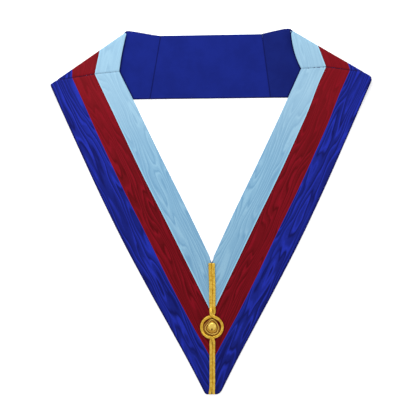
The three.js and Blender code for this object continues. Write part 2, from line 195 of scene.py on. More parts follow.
class RibbonShape:
    """The stripes' edges along a front, smoothed between the stations of a short table."""

    def __init__(self, stations: Sequence[RibbonStation]) -> None:
        """Work out the slope at each station from its neighbours.

        Args:
            stations: places along the front, from the point to the shoulder.
        """
        self.places = np.array([row.along for row in stations])
        self.edges = np.array([[row.inner, row.sky, row.crimson, row.royal] for row in stations])
        secants = np.diff(self.edges, axis=0) / np.diff(self.places)[:, None]
        middle = (secants[:-1] + secants[1:]) / 2
        self.slopes = np.concatenate([secants[:1], middle, secants[-1:]])

    def share(self, rail: int, along: float) -> float:
        """Where an edge lies across the ribbon.

        Args:
            rail: 0 for the inner edge, then one for the outer edge of each stripe.
            along: the place along the front, as a share of its length.

        Returns:
            The distance from the inner edge, as a share of the ribbon's width.
        """
        index = int(np.clip(np.searchsorted(self.places, along, side="right") - 1, 0,
                            len(self.places) - 2))
        step = self.places[index + 1] - self.places[index]
        t = float(np.clip((along - self.places[index]) / step, 0, 1))
        start, end = self.edges[index, rail], self.edges[index + 1, rail]
        leave, arrive = self.slopes[index, rail] * step, self.slopes[index + 1, rail] * step
        return float(eased(start, end, leave, arrive, t))


class SideLayout:
    """The named directions, corners and crease of one side, worked out from its shape."""

    def __init__(self, shape: SideShape, sizes: CollarSizes, ribbon: RibbonShape) -> None:
        """Lay the side out.

        Args:
            shape: how the side lies.
            sizes: the collar's driving sizes.
            ribbon: the stripes' edges along the front.
        """
        self.shape = shape
        self.sizes = sizes
        self.ribbon = ribbon
        self.length = sizes.leg_length * shape.leg_share
        sign = shape.sign
        angles = (shape.lean, shape.fold, shape.flap, shape.seam)
        lean, fold, flap, seam = (math.radians(angle) for angle in angles)
        self.up = Vector((sign * math.sin(lean), math.cos(lean)))
        self.out = Vector((sign * math.cos(lean), -math.sin(lean)))
        turns = [math.radians(turn) for turn in shape.turns]
        self.headings = [Vector((-sign * math.sin(turn), math.cos(turn))) for turn in turns]
        self.shoulder = self.headings[0]
        self.shoulder_out = Vector((sign * self.shoulder.y, abs(self.shoulder.x)))
        self.crease = Vector((-sign * math.cos(fold), math.sin(fold)))
        self.beyond = Vector((sign * math.sin(fold), math.cos(fold)))
        self.radius = sizes.fold_radius * shape.radius_share
        self.bend_radius = self.radius + sizes.cloth_wall / 2
        self.bend_length = math.pi * self.bend_radius
        turning = self.rail_point(0, self.mitre_at(0))
        reach = sizes.fold_reach * shape.reach_share
        self.origin = turning + self.beyond * (reach - self.radius - sizes.cloth_wall)
        corner = turning + self.shoulder * (reach / self.shoulder.dot(self.beyond))
        self.edge_middle = turning.lerp(corner, 0.5)
        self.edge_middle.x -= sign * shape.bow_share * sizes.ribbon_width
        run = sizes.flap_length * shape.run_share
        seam_top = corner - Vector((sign * math.cos(flap), math.sin(flap))) * run
        self.seam_down = Vector((sign * math.sin(seam), -math.cos(seam)))
        self.seam = [seam_top + self.seam_down * (share * sizes.back_width)
                     for share in sizes.back_shares]
        self.lift_line = self.seam[OUTER_EDGE].y
        self.hem_turn = self.seam[OUTER_EDGE]
        self.neck_corner = corner
        self.neck_place = self.flat_place(corner).y
        self.rounds = self.round_corners()

    def round_corners(self) -> list["RoundedCorner"]:
        """The folded shoulder's outer corner, and the one where it meets the neck."""
        rim = self.origin + self.beyond * (self.radius + self.sizes.cloth_wall)
        edge = self.rail_point(OUTER_EDGE, self.length)
        past = (rim - edge).dot(self.beyond) / self.up.dot(self.beyond)
        outer = edge + self.up * past
        along = self.crease
        neck = self.neck_corner + along * self.shape.neck_knee
        return [
            RoundedCorner(outer, along, -self.up, self.shape.corner_round),
            RoundedCorner(neck, -along, (self.seam[0] - neck).normalized(), self.shape.neck_round),
        ]

    def mitre_at(self, rail: int) -> float:
        """The distance along the front at which an edge of a stripe meets the shoulder."""
        return self.length + self.shape.mitre_shares[rail] * self.sizes.ribbon_width

    def rail_point(self, rail: int, along: float, inset: float = 0.0) -> Vector:
        """A point on the edge of a stripe of the front.

        Args:
            rail: 0 for the inner edge, then one for the outer edge of each stripe.
            along: the distance along the front from the corner of the V.
            inset: how far the point is moved outwards across the ribbon.

        Returns:
            The point in the layout.
        """
        share = along / self.sizes.leg_length
        pinch = self.shape.pinch_shares[rail] * smooth(share, *self.sizes.pinch_run)
        across = (self.ribbon.share(rail, share) - pinch) * self.sizes.ribbon_width
        return self.up * along + self.out * (across + inset)

    def crossing(self, rail: int, inset: Callable[[float], float],
                 height: float | None = None) -> float:
        """Where an edge meets the centre line, or a level line.

        Args:
            rail: the edge.
            inset: how far the edge is moved outwards, at a distance along the front.
            height: the level line's place, or None for the centre line.

        Returns:
            The distance along the front.
        """
        low, high = STATIONS[0].along * self.sizes.leg_length, self.length
        for _ in range(BISECTIONS):
            middle = (low + high) / 2
            point = self.rail_point(rail, middle, inset(middle))
            past = point.x * self.shape.sign if height is None else point.y - height
            low, high = (middle, high) if past < 0 else (low, middle)
        return (low + high) / 2

    def flat_place(self, point: Vector, under: bool = False) -> Vector:
        """Distances beyond and along the crease, for a point on the front or folded under."""
        relative = point - self.origin
        beyond = relative.dot(self.beyond)
        return Vector((self.bend_length - beyond if under else beyond, relative.dot(self.crease)))

    def unfolded(self, flat: Vector) -> Vector:
        """The layout point of a flat place, as if the crease weren't folded."""
        return self.origin + self.beyond * flat.x + self.crease * flat.y

    def front_height(self, distance: float, y: float) -> float:
        """Height of the upper layer's underside: it settles, then drops to the ground."""
        settled = smooth(-distance, 0, self.sizes.settle_length)
        space = blend(2 * self.radius, self.sizes.rest_gap, settled)
        drop = smooth(y, self.lift_line - self.sizes.drape_length, self.lift_line)
        return (self.sizes.cloth_wall + space) * drop

    def drawn_out(self, flat: Vector, rise: float) -> float:
        """How far the lining is drawn out to the fold's rim, where it meets the neck edge."""
        if rise > self.sizes.lining_wall:
            return 0.0
        near = smooth(flat.y, self.neck_place - NECK_TUCK_RUN,
                      self.neck_place + self.shape.neck_knee / 2)
        past = smooth(flat.x, self.bend_length * NECK_TUCK_START, self.bend_length * NECK_KNEE)
        faded = smooth(flat.x, self.bend_length, self.bend_length + NECK_TUCK_FADE)
        return NECK_TUCK * near * past * (1 - faded)

    def cloth_point(self, flat: Vector, rise: float) -> Vector:
        """The place in space of a point of the cloth.

        Args:
            flat: its distances beyond and along the crease, on the unfolded cloth.
            rise: its height through the cloth, from the lining's inner face.

        Returns:
            The point in the layout.
        """
        wall = self.sizes.cloth_wall
        centre = self.origin + self.crease * flat.y + self.beyond * self.drawn_out(flat, rise)
        if flat.x <= 0:
            plan = centre + self.beyond * flat.x
            height = self.front_height(flat.x, plan.y) + rise
        elif flat.x >= self.bend_length:
            plan = centre + self.beyond * (self.bend_length - flat.x)
            height = wall - rise
        else:
            angle = flat.x / self.bend_radius
            plan = centre + self.beyond * ((self.radius + rise) * math.sin(angle))
            height = self.radius + wall + (self.radius + rise) * math.cos(angle)
        height += table_wave(plan.x, plan.y)
        for corner in self.rounds:
            plan = corner.drawn_in(plan)
        return Vector((plan.x, plan.y, height))


class RoundedCorner:
    """A soft corner of the folded cloth. What lies in it is drawn in to an arc."""

    kept_share: float = 0.45

    def __init__(self, corner: Vector, first: Vector, second: Vector, radius: float) -> None:
        """Set the arc out.

        Args:
            corner: the sharp corner in plan.
            first: the direction of one edge from the corner.
            second: the direction of the other.
            radius: the arc's radius.
        """
        half = first.angle(second) / 2
        middle = (first + second).normalized()
        self.centre = corner + middle * (radius / math.sin(half))
        self.outwards = -middle
        self.spread = math.pi / 2 - half
        self.radius = radius
        normals = (Vector((-first.y, first.x)), Vector((-second.y, second.x)))
        self.normals = [normal if normal.dot(middle) < 0 else -normal for normal in normals]

    def drawn_in(self, point: Vector) -> Vector:
        """The place of a point once the corner is rounded."""
        arm = point - self.centre
        kept = self.radius * self.kept_share
        if arm.length <= kept or arm.angle(self.outwards) >= self.spread:
            return point
        heading = arm.normalized()
        reach = self.radius / max(heading.dot(normal) for normal in self.normals)
        share = (self.radius - kept) / (reach - kept)
        return self.centre + heading * (kept + (arm.length - kept) * share)


def table_wave(x: float, y: float) -> float:
    """The slight unevenness with which the cloth lies, the same for all the layers at a place."""
    place = Vector((x / WAVE_LENGTH, y / WAVE_LENGTH, WAVE_PLACE))
    return WAVE_HEIGHT * (0.5 + 0.5 * noise.noise(place))


def sampled(line: Sequence[Vector], share: float) -> Vector:
    """The point at a share of a line's length."""
    lengths = [(second - first).length for first, second in zip(line, line[1:])]
    left = sum(lengths) * share
    for first, second, length in zip(line, line[1:], lengths):
        if left <= length and length > TINY:
            return first.lerp(second, left / length)
        left -= length
    return line[-1].copy()


def line_length(line: Sequence[Vector]) -> float:
    """The length of a line."""
    return sum((second - first).length for first, second in zip(line, line[1:]))


def line_distances(points: np.ndarray, lines: Iterable[Sequence[Vector]]) -> np.ndarray:
    """The distance of each point from the nearest of some lines.

    Args:
        points: the points, a row each.
        lines: the lines, as their corners.

    Returns:
        One distance for each point.
    """
    nearest = np.full(len(points), 1.0)
    for line in lines:
        for first, second in zip(line, line[1:]):
            start, run = np.array(first), np.array(second - first)
            size = float(run @ run)
            share = np.zeros(len(points))
            if size > TINY**2:
                share = np.clip((points - start) @ run / size, 0, 1)
            gap = points - start - share[:, None] * run
            nearest = np.minimum(nearest, np.hypot(gap[:, 0], gap[:, 1]))
    return nearest


def ladder(length: float, spacing: float, fine_low: bool, fine_high: bool) -> list[float]:
    """Shares of a length: even steps, with finer ones next to an end that is shaped.

    Args:
        length: the length that is divided.
        spacing: the greatest even step.
        fine_low: whether the start gets fine steps.
        fine_high: whether the end gets fine steps.

    Returns:
        Rising shares from 0 to 1.
    """
    count = max(1, math.ceil(length / spacing))
    shares = {step / count for step in range(count + 1)}
    fine = [step / max(length, TINY) for step in FINE_STEPS if step < FINE_SHARE * length]
    shares |= {step for step in fine if fine_low}
    shares |= {1 - step for step in fine if fine_high}
    ordered = sorted(shares)
    least = LEAST_STEP / max(length, TINY)
    kept = [ordered[0]]
    kept += [share for share, before in zip(ordered[1:-1], ordered) if share - before > least]
    return kept + [1.0]


@dataclass
class Pattern:
    """The flat cut of one strip of cloth.

    Attributes:
        inner: stretches of its inner edge.
        outer: the matching stretches of its outer edge.
        turned: edges that are folded over, and so are round.
        joins: edges that are sewn to another panel.
        fine: whether the inner edge, the outer edge, the start and the end are shaped.
    """

    inner: list[list[Vector]]
    outer: list[list[Vector]]
    turned: list[list[Vector]]
    joins: list[list[Vector]]
    fine: tuple[bool, bool, bool, bool]

    def grid(self, row_step: float, column_step: float) -> list[list[Vector]]:
        """Rows of flat points from the inner to the outer edge."""
        fine_inner, fine_outer, fine_start, fine_end = self.fine
        start = (self.outer[0][0] - self.inner[0][0]).length
        end = (self.outer[-1][-1] - self.inner[-1][-1]).length
        columns = ladder(max(start, end), column_step, fine_inner, fine_outer)
        rows = []
        last = len(self.inner) - 1
        for part, (inner, outer) in enumerate(zip(self.inner, self.outer)):
            length = max(line_length(inner), line_length(outer))
            step = row_step if part != 1 or last < 2 else length / 4
            shares = ladder(length, step, fine_start and part == 0, fine_end and part == last)
            for share in shares[1 if rows else 0:]:
                low, high = sampled(inner, share), sampled(outer, share)
                rows.append([low.lerp(high, column) for column in columns])
        return rows


@dataclass(frozen=True)
class Wall:
    """A layer's thickness within the cloth, and which of its faces shows."""

    low: float
    high: float
    face: int
    groove: float

    def faces(self, edge: float, join: float) -> tuple[float, float]:
        """Heights of the layer's two faces.

        Args:
            edge: the distance from the nearest turned edge.
            join: the distance from the nearest sewn join.

        Returns:
            The lower and the upper height through the cloth.
        """
        half = (self.high - self.low) / 2
        share = min(edge / (EDGE_ROUND * half), 1.0)
        kept = half * math.sqrt(max(0.0, 1 - (1 - share) ** 2))
        middle = (self.low + self.high) / 2
        sunk = min(self.groove * (1 - smooth(join, 0, GROOVE_WIDTH)), kept)
        low, high = middle - kept, middle + kept
        return (low, high - sunk) if self.face > 0 else (low + sunk, high)


RIBBON_WALL = Wall(low=1.04 * MM, high=2.5 * MM, face=1, groove=0.75 * MM)
LINING_WALL = Wall(low=0, high=1.0 * MM, face=-1, groove=0.45 * MM)


def deselect_all() -> None:
    """Clear the selection, since an operator acts on all that is selected."""
    for thing in bpy.context.selected_objects:
        thing.select_set(False)


def select_only(thing: bpy.types.Object) -> None:
    """Make one object the selected and active one."""
    deselect_all()
    thing.select_set(True)
    bpy.context.view_layer.objects.active = thing


class Bench:
    """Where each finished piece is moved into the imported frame, dressed and tied to the body."""

    def __init__(self, tip_height: float, gap: float) -> None:
        """Read from the fronts' boxes how far the layout is moved.

        Args:
            tip_height: the level of the blunt tip in the layout.
            gap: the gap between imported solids, half of which each outline gives up.
        """
        left_high, right_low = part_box("front_left_sky")[1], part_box("front_right_sky")[0]
        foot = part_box("front_left_royal")[0][1]
        self.shift = Vector(((left_high[0] + right_low[0]) / 2, foot - tip_height - gap / 2, 0))

    def keep(self, thing: bpy.types.Object, name: str, slot: str, material: bpy.types.Material,
             nodes: Sequence[str] = (), angle: float = 40.0) -> bpy.types.Object:
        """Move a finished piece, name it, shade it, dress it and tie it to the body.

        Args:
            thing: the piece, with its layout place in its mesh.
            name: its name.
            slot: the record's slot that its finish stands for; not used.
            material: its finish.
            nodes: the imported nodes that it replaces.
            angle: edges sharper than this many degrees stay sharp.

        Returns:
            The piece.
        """
        thing.data.transform(Matrix.Translation(self.shift))
        thing.name = name
        thing.data.name = name
        select_only(thing)
        bpy.ops.object.shade_smooth_by_angle(angle=math.radians(angle))
        thing.data.materials.clear()
        thing.data.materials.append(material)
        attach(thing, BODY)
        if nodes:
            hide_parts(*nodes)
        LOG.info("%s: %d faces", name, len(thing.data.polygons))
        return thing


def object_of(bm: bmesh.types.BMesh, name: str) -> bpy.types.Object:
    """A new object that holds a mesh, linked to the scene at the origin."""
    mesh = bpy.data.meshes.new(name)
    bm.to_mesh(mesh)
    bm.free()
    thing = bpy.data.objects.new(name, mesh)
    bpy.context.scene.collection.objects.link(thing)
    return thing


class ClothPanel:
    """One panel of the collar: three stripes of ribbon and a lining."""

    row_step: float = 4 * MM
    column_step: float = 4.5 * MM
    bend_steps: int = 14
    pattern_shift: float = 1.37

    def __init__(self, bench: Bench, name: str, number: int, hold: Hold, face_up: bool,
                 below: Sequence[str]) -> None:
        """Name the panel.

        Args:
            bench: where its pieces are finished.
            name: the panel's name, which starts the names of its nodes.
            number: its number, which gives it a stretch of the woven pattern of its own.
            hold: how it is held; not used.
            face_up: whether its stripes lie on its lining, and not the other way round; not used.
            below: what its lower layer lies on; not used.
        """
        self.bench = bench
        self.name = name
        self.number = number
        self.hold = hold
        self.face_up = face_up
        self.below = list(below)

    def pattern(self, layer: Layer) -> Pattern:
        """The flat cut of a layer."""
        raise NotImplementedError

    def place(self, flat: Vector, rise: float) -> Vector:
        """The place in space of a flat point."""
        raise NotImplementedError

    def weave(self, flat: Vector) -> tuple[float, float]:
        """Distances along and across the ribbon of a flat point."""
        raise NotImplementedError

    def bend_places(self) -> list[float]:
        """Distances beyond the crease at which the cloth gets a line of points."""
        return []

    def clear_of(self, flat: Vector) -> float:
        """How far a point lies clear of the layer above it, negative where it is covered."""
        return 1.0

    def flat_mesh(self, pattern: Pattern) -> bmesh.types.BMesh:
        """The cut as a flat mesh, with lines of points where it bends."""
        bm = bmesh.new()
        rows = [[bm.verts.new((point.x, point.y, 0)) for point in row]
                for row in pattern.grid(self.row_step, self.column_step)]
        for row, above in zip(rows, rows[1:]):
            for left, right, upper_right, upper_left in zip(row, row[1:], above[1:], above):
                bm.faces.new((left, right, upper_right, upper_left))
        bmesh.ops.remove_doubles(bm, verts=bm.verts, dist=TINY)
        bmesh.ops.dissolve_degenerate(bm, edges=bm.edges, dist=TINY)
        for distance in self.bend_places():
            everything = [*bm.verts, *bm.edges, *bm.faces]
            bmesh.ops.bisect_plane(bm, geom=everything, dist=TINY, plane_co=(distance, 0, 0),
                                   plane_no=(1, 0, 0))
        return bm

    def shell(self, layer: Layer, wall: Wall) -> tuple[bpy.types.Object, dict[str, object]]:
        """The closed wall of a layer, shaped in space.

        Args:
            layer: the layer.
            wall: its thickness.

        Returns:
            The object, and the flat cut's size and area.
        """
        pattern = self.pattern(layer)
        flat = self.flat_mesh(pattern)
        flat.verts.index_update()
        points = np.array([vert.co.xy for vert in flat.verts])
        edges = line_distances(points, pattern.turned)
        joins = line_distances(points, pattern.joins)
        borders = [line_distances(points, [[point for part in side for point in part]])
                   for side in (pattern.inner, pattern.outer)]
        woven = [self.weave(vert.co.xy) for vert in flat.verts]
        bm = bmesh.new()
        weave_layer = bm.loops.layers.uv.new("weave")
        marks = [bm.verts.layers.float.new(mark)
                 for mark in ("join", "inner_edge", "outer_edge", "clear")]
        sheets: tuple[list, list] = ([], [])
        # The clear mark sets where a painted shadow darkens the lining beside the layer above it.
        clears = [self.clear_of(vert.co.xy) for vert in flat.verts]
        for vert, edge, join, inner, outer, clear in zip(flat.verts, edges, joins, *borders,
                                                         clears):
            for sheet, rise in zip(sheets, wall.faces(float(edge), float(join))):
                made = bm.verts.new(self.place(vert.co.xy, rise))
                for mark, value in zip(marks, (join, inner, outer, clear)):
                    made[mark] = float(value)
                sheet.append(made)
        self.add_faces(bm, flat, sheets, woven, weave_layer)
        bmesh.ops.remove_doubles(bm, verts=bm.verts, dist=TINY)
        bmesh.ops.dissolve_degenerate(bm, edges=bm.edges, dist=TINY)
        bmesh.ops.recalc_face_normals(bm, faces=bm.faces)
        spans = np.ptp(np.array(woven), axis=0)
        cut = {"flat": (float(spans[1]), float(spans[0])),
               "area": sum(face.calc_area() for face in flat.faces)}
        flat.free()
        return object_of(bm, f"{self.name}_{layer.value}_cloth"), cut

    def add_faces(self, bm: bmesh.types.BMesh, flat: bmesh.types.BMesh, sheets: tuple[list, list],
                  woven: list[tuple[float, float]], weave_layer: object) -> None:
        """Cover both sheets with the flat mesh's faces, and close the wall between them.

        Args:
            bm: the mesh being made.
            flat: the flat mesh.
            sheets: the new vertices of the lower and the upper sheet.
            woven: distances along and across the ribbon, for each flat vertex.
            weave_layer: the layer that stores them.
        """
        shift = self.number * self.pattern_shift

        def add(corners: list, numbers: list[int]) -> None:
            """Add a face and lay the woven pattern on it."""
            face = bm.faces.new(corners)
            for loop, number in zip(face.loops, numbers):
                loop[weave_layer].uv = (woven[number][0] + shift, woven[number][1])

        for face in flat.faces:
            numbers = [vert.index for vert in face.verts]
            add([sheets[1][number] for number in numbers], numbers)
            add([sheets[0][number] for number in reversed(numbers)], numbers[::-1])
        for edge in flat.edges:
            if edge.is_boundary:
                first, second = (vert.index for vert in edge.verts)
                corners = [sheets[0][first], sheets[0][second], sheets[1][second], sheets[1][first]]
                add(corners, [first, second, second, first])

    def build(self, layer: Layer, wall: Wall, material: bpy.types.Material) -> bpy.types.Object:
        """Args:
            layer: the layer.
            wall: its thickness.
            material: its finish.

        Returns:
            The piece.
        """
        node = f"{self.name}_{layer.value}"
        thing, cut = self.shell(layer, wall)
        self.bench.keep(thing, f"{node}_cloth", layer.value, material, [node])
        return thing


class SidePanel(ClothPanel):
    """A panel that goes over the crease of its side, with all of its cloth or with a corner."""

    side: SideLayout

    def bend_places(self) -> list[float]:
        """Lines of points all round the bend."""
        steps = range(self.bend_steps + 1)
        return [self.side.bend_length * step / self.bend_steps for step in steps]

    def place(self, flat: Vector, rise: float) -> Vector:
        """The place in space of a flat point."""
        return self.side.cloth_point(flat, rise)


class FrontPanel(SidePanel):
    """A straight front, from the point up to the mitre at the shoulder."""

    crotch_cut: float = 2.2 * MM
    crotch_run: tuple[float, float] = (-1 * MM, 6 * MM)
    round_steps: int = 10
    round_limit: float = 0.9

    def __init__(self, bench: Bench, name: str, number: int, side: SideLayout,
                 tip_height: float) -> None:
        """Set the panel out.

        Args:
            bench: where its pieces are finished.
            name: the panel's name.
            number: the panel's number.
            side: the side that it belongs to.
            tip_height: the level of the blunt tip.
        """
        folded_under = name.replace("front", "shoulder")
        below = ["floor", "back_lining_cloth", f"{folded_under}_lining_cloth"]
        super().__init__(bench, name, number, Hold.LAID, True, below)
        self.side = side
        self.tip_height = tip_height

    def inset(self, layer: Layer, rail: int) -> Callable[[float], float]:
        """How far an edge lies inside the ribbon's own, by the distance along the front."""
        if layer is Layer.LINING:
            amount = self.side.sizes.lining_inset * (1 if rail == 0 else -1)
            return lambda along: amount
        if rail == 0:
            return lambda along: self.crotch_cut * (1 - smooth(along, *self.crotch_run))
        return lambda along: 0.0

    def rail(self, layer: Layer, rail: int, start: float, end: float) -> list[Vector]:
        """Points along an edge of a layer, between two distances along the front."""
        inset = self.inset(layer, rail)
        count = max(2, math.ceil(abs(end - start) / self.row_step))
        places = [blend(start, end, step / count) for step in range(count + 1)]
        return [self.side.rail_point(rail, place, inset(place)) for place in places]

    def rounded(self, before: Vector, corner: Vector, after: Vector) -> list[Vector]:
        """The curve that takes the place of the tip's outer corner."""
        back, ahead = (before - corner).normalized(), (after - corner).normalized()
        half = math.acos(max(-1.0, min(1.0, back.dot(ahead)))) / 2
        radius = self.side.sizes.tip_round * self.side.shape.round_share
        room = min((before - corner).length, (after - corner).length)
        trim = min(radius / math.tan(half), room * self.round_limit)
        start, end = corner + back * trim, corner + ahead * trim
        shares = [step / self.round_steps for step in range(self.round_steps + 1)]
        return [start.lerp(corner, t).lerp(corner.lerp(end, t), t) for t in shares]

    def pattern(self, layer: Layer) -> Pattern:
        """The flat cut of a layer."""
        side = self.side
        lining = layer is Layer.LINING
        inner = 0 if lining else STRIPES.index(layer)
        outer = OUTER_EDGE if lining else inner + 1
        inner_mitre, outer_mitre = side.mitre_at(inner), side.mitre_at(outer)
        inner_start = side.crossing(inner, self.inset(layer, inner))
        inner_rail = self.rail(layer, inner, inner_start, inner_mitre)
        if outer < OUTER_EDGE:
            outer_start = side.crossing(outer, self.inset(layer, outer))
            outer_rail = self.rail(layer, outer, outer_start, outer_mitre)
            inners, outers = [inner_rail], [outer_rail]
            turned = [inner_rail] if inner == 0 else []
            centre = [inner_rail[0], outer_rail[0]]
        else:
            height = self.tip_height + (side.sizes.lining_inset if lining else 0)
            outer_start = side.crossing(outer, self.inset(layer, outer), height)
            tip = Vector((0, height))
            low_rail = self.rail(layer, outer, outer_start, inner_start)
            curve = self.rounded(tip, low_rail[0], low_rail[3])
            low_rail = curve + low_rail[4:]
            high_rail = self.rail(layer, outer, inner_start, outer_mitre)
            inners, outers = [[tip, inner_rail[0]], inner_rail], [low_rail, high_rail]
            turned = [[tip, *low_rail], high_rail] + ([inner_rail] if inner == 0 else [])
            centre = [tip, inner_rail[0]]
        mitre = [inner_rail[-1], outers[-1][-1]]
        fine = (inner == 0, outer == OUTER_EDGE, True, True)
        lines = [inners, outers, turned, [centre, mitre]]
        return Pattern(*[[[side.flat_place(point) for point in line] for line in group]
                         for group in lines], fine)

    def weave(self, flat: Vector) -> tuple[float, float]:
        """Distances along and across the ribbon of a flat point."""
        point = self.side.unfolded(flat)
        return point.dot(self.side.up), point.dot(self.side.out)


class ShoulderPanel(SidePanel):
    """The panel that turns inwards at the mitre and folds under along the crease."""

    edge_steps: int = 14

    def __init__(self, bench: Bench, name: str, number: int, side: SideLayout) -> None:
        """Set the panel out.

        Args:
            bench: where its pieces are finished.
            name: the panel's name.
            number: the panel's number.
            side: the side that it belongs to.
        """
        super().__init__(bench, name, number, Hold.FOLDED, False, ["floor", f"{name}_lining_cloth"])
        self.side = side
        legs = [side.rail_point(0, side.length * share) for share in (0.6, 0.8, 0.9, 1)]
        self.cover = [*legs, side.edge_middle, side.neck_corner]

    def rail(self, rail: int, inset: float, end_inset: float) -> list[list[Vector]]:
        """An edge in three stretches: up to the crease, round it, and on to the back seam.

        Args:
            rail: 0 for the inner edge, then one for the outer edge of each stripe.
            inset: how far the edge is moved outwards across the ribbon.
            end_inset: the same at the back seam.

        Returns:
            The three stretches, on the unfolded cloth.
        """
        side = self.side
        start = side.flat_place(side.rail_point(rail, side.mitre_at(rail), inset))
        end = side.flat_place(side.seam[rail] + side.seam_down * end_inset, under=True)
        first = [start]
        if start.x < 0:
            heading = side.headings[rail]
            meet = side.unfolded(start) + heading * (-start.x / heading.dot(side.beyond))
            first.append(side.flat_place(meet))
        if rail == 0:
            middle = side.flat_place(side.edge_middle + side.out * inset)
            first = self.bowed(first[0], middle, first[-1])
        corner = first[-1]
        route = [end]
        if rail == 0:
            place = NECK_KNEE if end_inset else RIBBON_KNEE
            knee = Vector((side.bend_length * place, corner.y + side.shape.neck_knee))
            under = Vector((knee.x / 2, corner.y))
            return [first, [corner, under, knee], [knee, end]]
        if rail == OUTER_EDGE:
            route.insert(0, side.flat_place(side.hem_turn + side.seam_down * end_inset, under=True))
        bend = [corner]
        if rail < OUTER_EDGE:
            bend += [self.over_crease(start, side.headings[rail], turn)
                     for turn in (math.pi / 4, math.pi / 2)]
        share = (side.bend_length - bend[-1].x) / (route[0].x - bend[-1].x)
        leaving = bend[-1].lerp(route[0], share)
        return [first if len(first) > 1 else [corner, corner.copy()], [*bend, leaving],
                [leaving, *route]]

    def over_crease(self, start: Vector, heading: Vector, turn: float) -> Vector:
        """The flat place, part of the way round the bend, of a border that looks straight.

        Args:
            start: the flat place where the border leaves the mitre.
            heading: its direction in the layout.
            turn: how far round the bend the place lies.

        Returns:
            The flat place.
        """
        side = self.side
        reach = (side.radius + side.sizes.cloth_wall) * math.sin(turn)
        meet = side.unfolded(start) + heading * ((reach - start.x) / heading.dot(side.beyond))
        return Vector((side.bend_length * turn / math.pi, side.flat_place(meet).y))

    def bowed(self, start: Vector, middle: Vector, end: Vector) -> list[Vector]:
        """A smooth curve through three points."""
        knee = (middle - start).length / ((middle - start).length + (end - middle).length)
        line = []
        for step in range(self.edge_steps + 1):
            t = step / self.edge_steps
            weights = ((t - knee) * (t - 1) / knee, t * (t - 1) / (knee * (knee - 1)),
                       t * (t - knee) / (1 - knee))
            line.append(start * weights[0] + middle * weights[1] + end * weights[2])
        return line

    def pattern(self, layer: Layer) -> Pattern:
        """The flat cut of a layer."""
        if layer is Layer.LINING:
            amount = self.side.sizes.lining_inset
            inner = self.rail(0, NECK_INSET, NECK_INSET)
            outer = self.rail(OUTER_EDGE, -amount, -amount)
            turned = inner + outer
            fine = (True, True, True, True)
        else:
            number = STRIPES.index(layer)
            inner, outer = self.rail(number, 0, 0), self.rail(number + 1, 0, 0)
            turned = (inner if number == 0 else []) + (outer if layer is Layer.ROYAL else [])
            fine = (number == 0, layer is Layer.ROYAL, True, True)
        joins = [[inner[0][0], outer[0][0]], [inner[-1][-1], outer[-1][-1]]]
        return Pattern(inner, outer, turned, joins, fine)

    def clear_of(self, flat: Vector) -> float:
        """How far a point lies clear of the layer above it, negative where it is covered."""
        side = self.side
        if flat.x < side.bend_length / 2:
            return 1.0
        beyond = side.bend_length - max(flat.x, side.bend_length)
        point = side.origin + side.beyond * beyond + side.crease * flat.y
        nearest = 1.0
        for first, second in zip(self.cover, self.cover[1:]):
            run = second - first
            share = min(max((point - first).dot(run) / run.length_squared, 0.0), 1.0)
            gap = point - first - run * share
            past = -side.shape.sign * (run.y * gap.x - run.x * gap.y)
            nearest = min(nearest, math.copysign(gap.length, past), key=abs)
        return nearest

    def weave(self, flat: Vector) -> tuple[float, float]:
        """Distances along and across the ribbon of a flat point."""
        point = self.side.unfolded(flat)
        return point.dot(self.side.shoulder), point.dot(self.side.shoulder_out)


class BackPanel(ClothPanel):
    """The straight panel across the back of the neck, which lies lining up."""

    def __init__(self, bench: Bench, name: str, number: int, left: SideLayout,
                 right: SideLayout) -> None:
        """Set the panel out between the two seams.

        Args:
            bench: where its pieces are finished.
            name: the panel's name.
            number: the panel's number.
            left: the left side.
            right: the right side.
        """
        super().__init__(bench, name, number, Hold.LAID, False, ["floor"])
        self.left = left
        self.right = right

    def pattern(self, layer: Layer) -> Pattern:
        """The flat cut of a layer."""
        lining = layer is Layer.LINING
        inner = 0 if lining else STRIPES.index(layer)
        outer = OUTER_EDGE if lining else inner + 1
        amount = self.left.sizes.lining_inset if lining else 0.0
        neck = NECK_INSET if lining else 0.0

        def edge(rail: int, inset: float) -> list[Vector]:
            """An edge from the left seam to the right one."""
            return [side.seam[rail] + side.seam_down * inset for side in (self.left, self.right)]

        inner_edge, outer_edge = edge(inner, neck), edge(outer, -amount)
        turned = [inner_edge] if inner == 0 else []
        turned += [outer_edge] if outer == OUTER_EDGE else []
        joins = [[inner_edge[0], outer_edge[0]], [inner_edge[1], outer_edge[1]]]
        fine = (inner == 0, outer == OUTER_EDGE, True, True)
        return Pattern([inner_edge], [outer_edge], turned, joins, fine)

    def place(self, flat: Vector, rise: float) -> Vector:
        """The place in space of a flat point."""
        height = self.left.sizes.cloth_wall - rise + table_wave(flat.x, flat.y)
        return Vector((flat.x, flat.y, height))

    def weave(self, flat: Vector) -> tuple[float, float]:
        """Distances along and across the ribbon of a flat point."""
        return flat.x, self.left.seam[0].y - flat.y


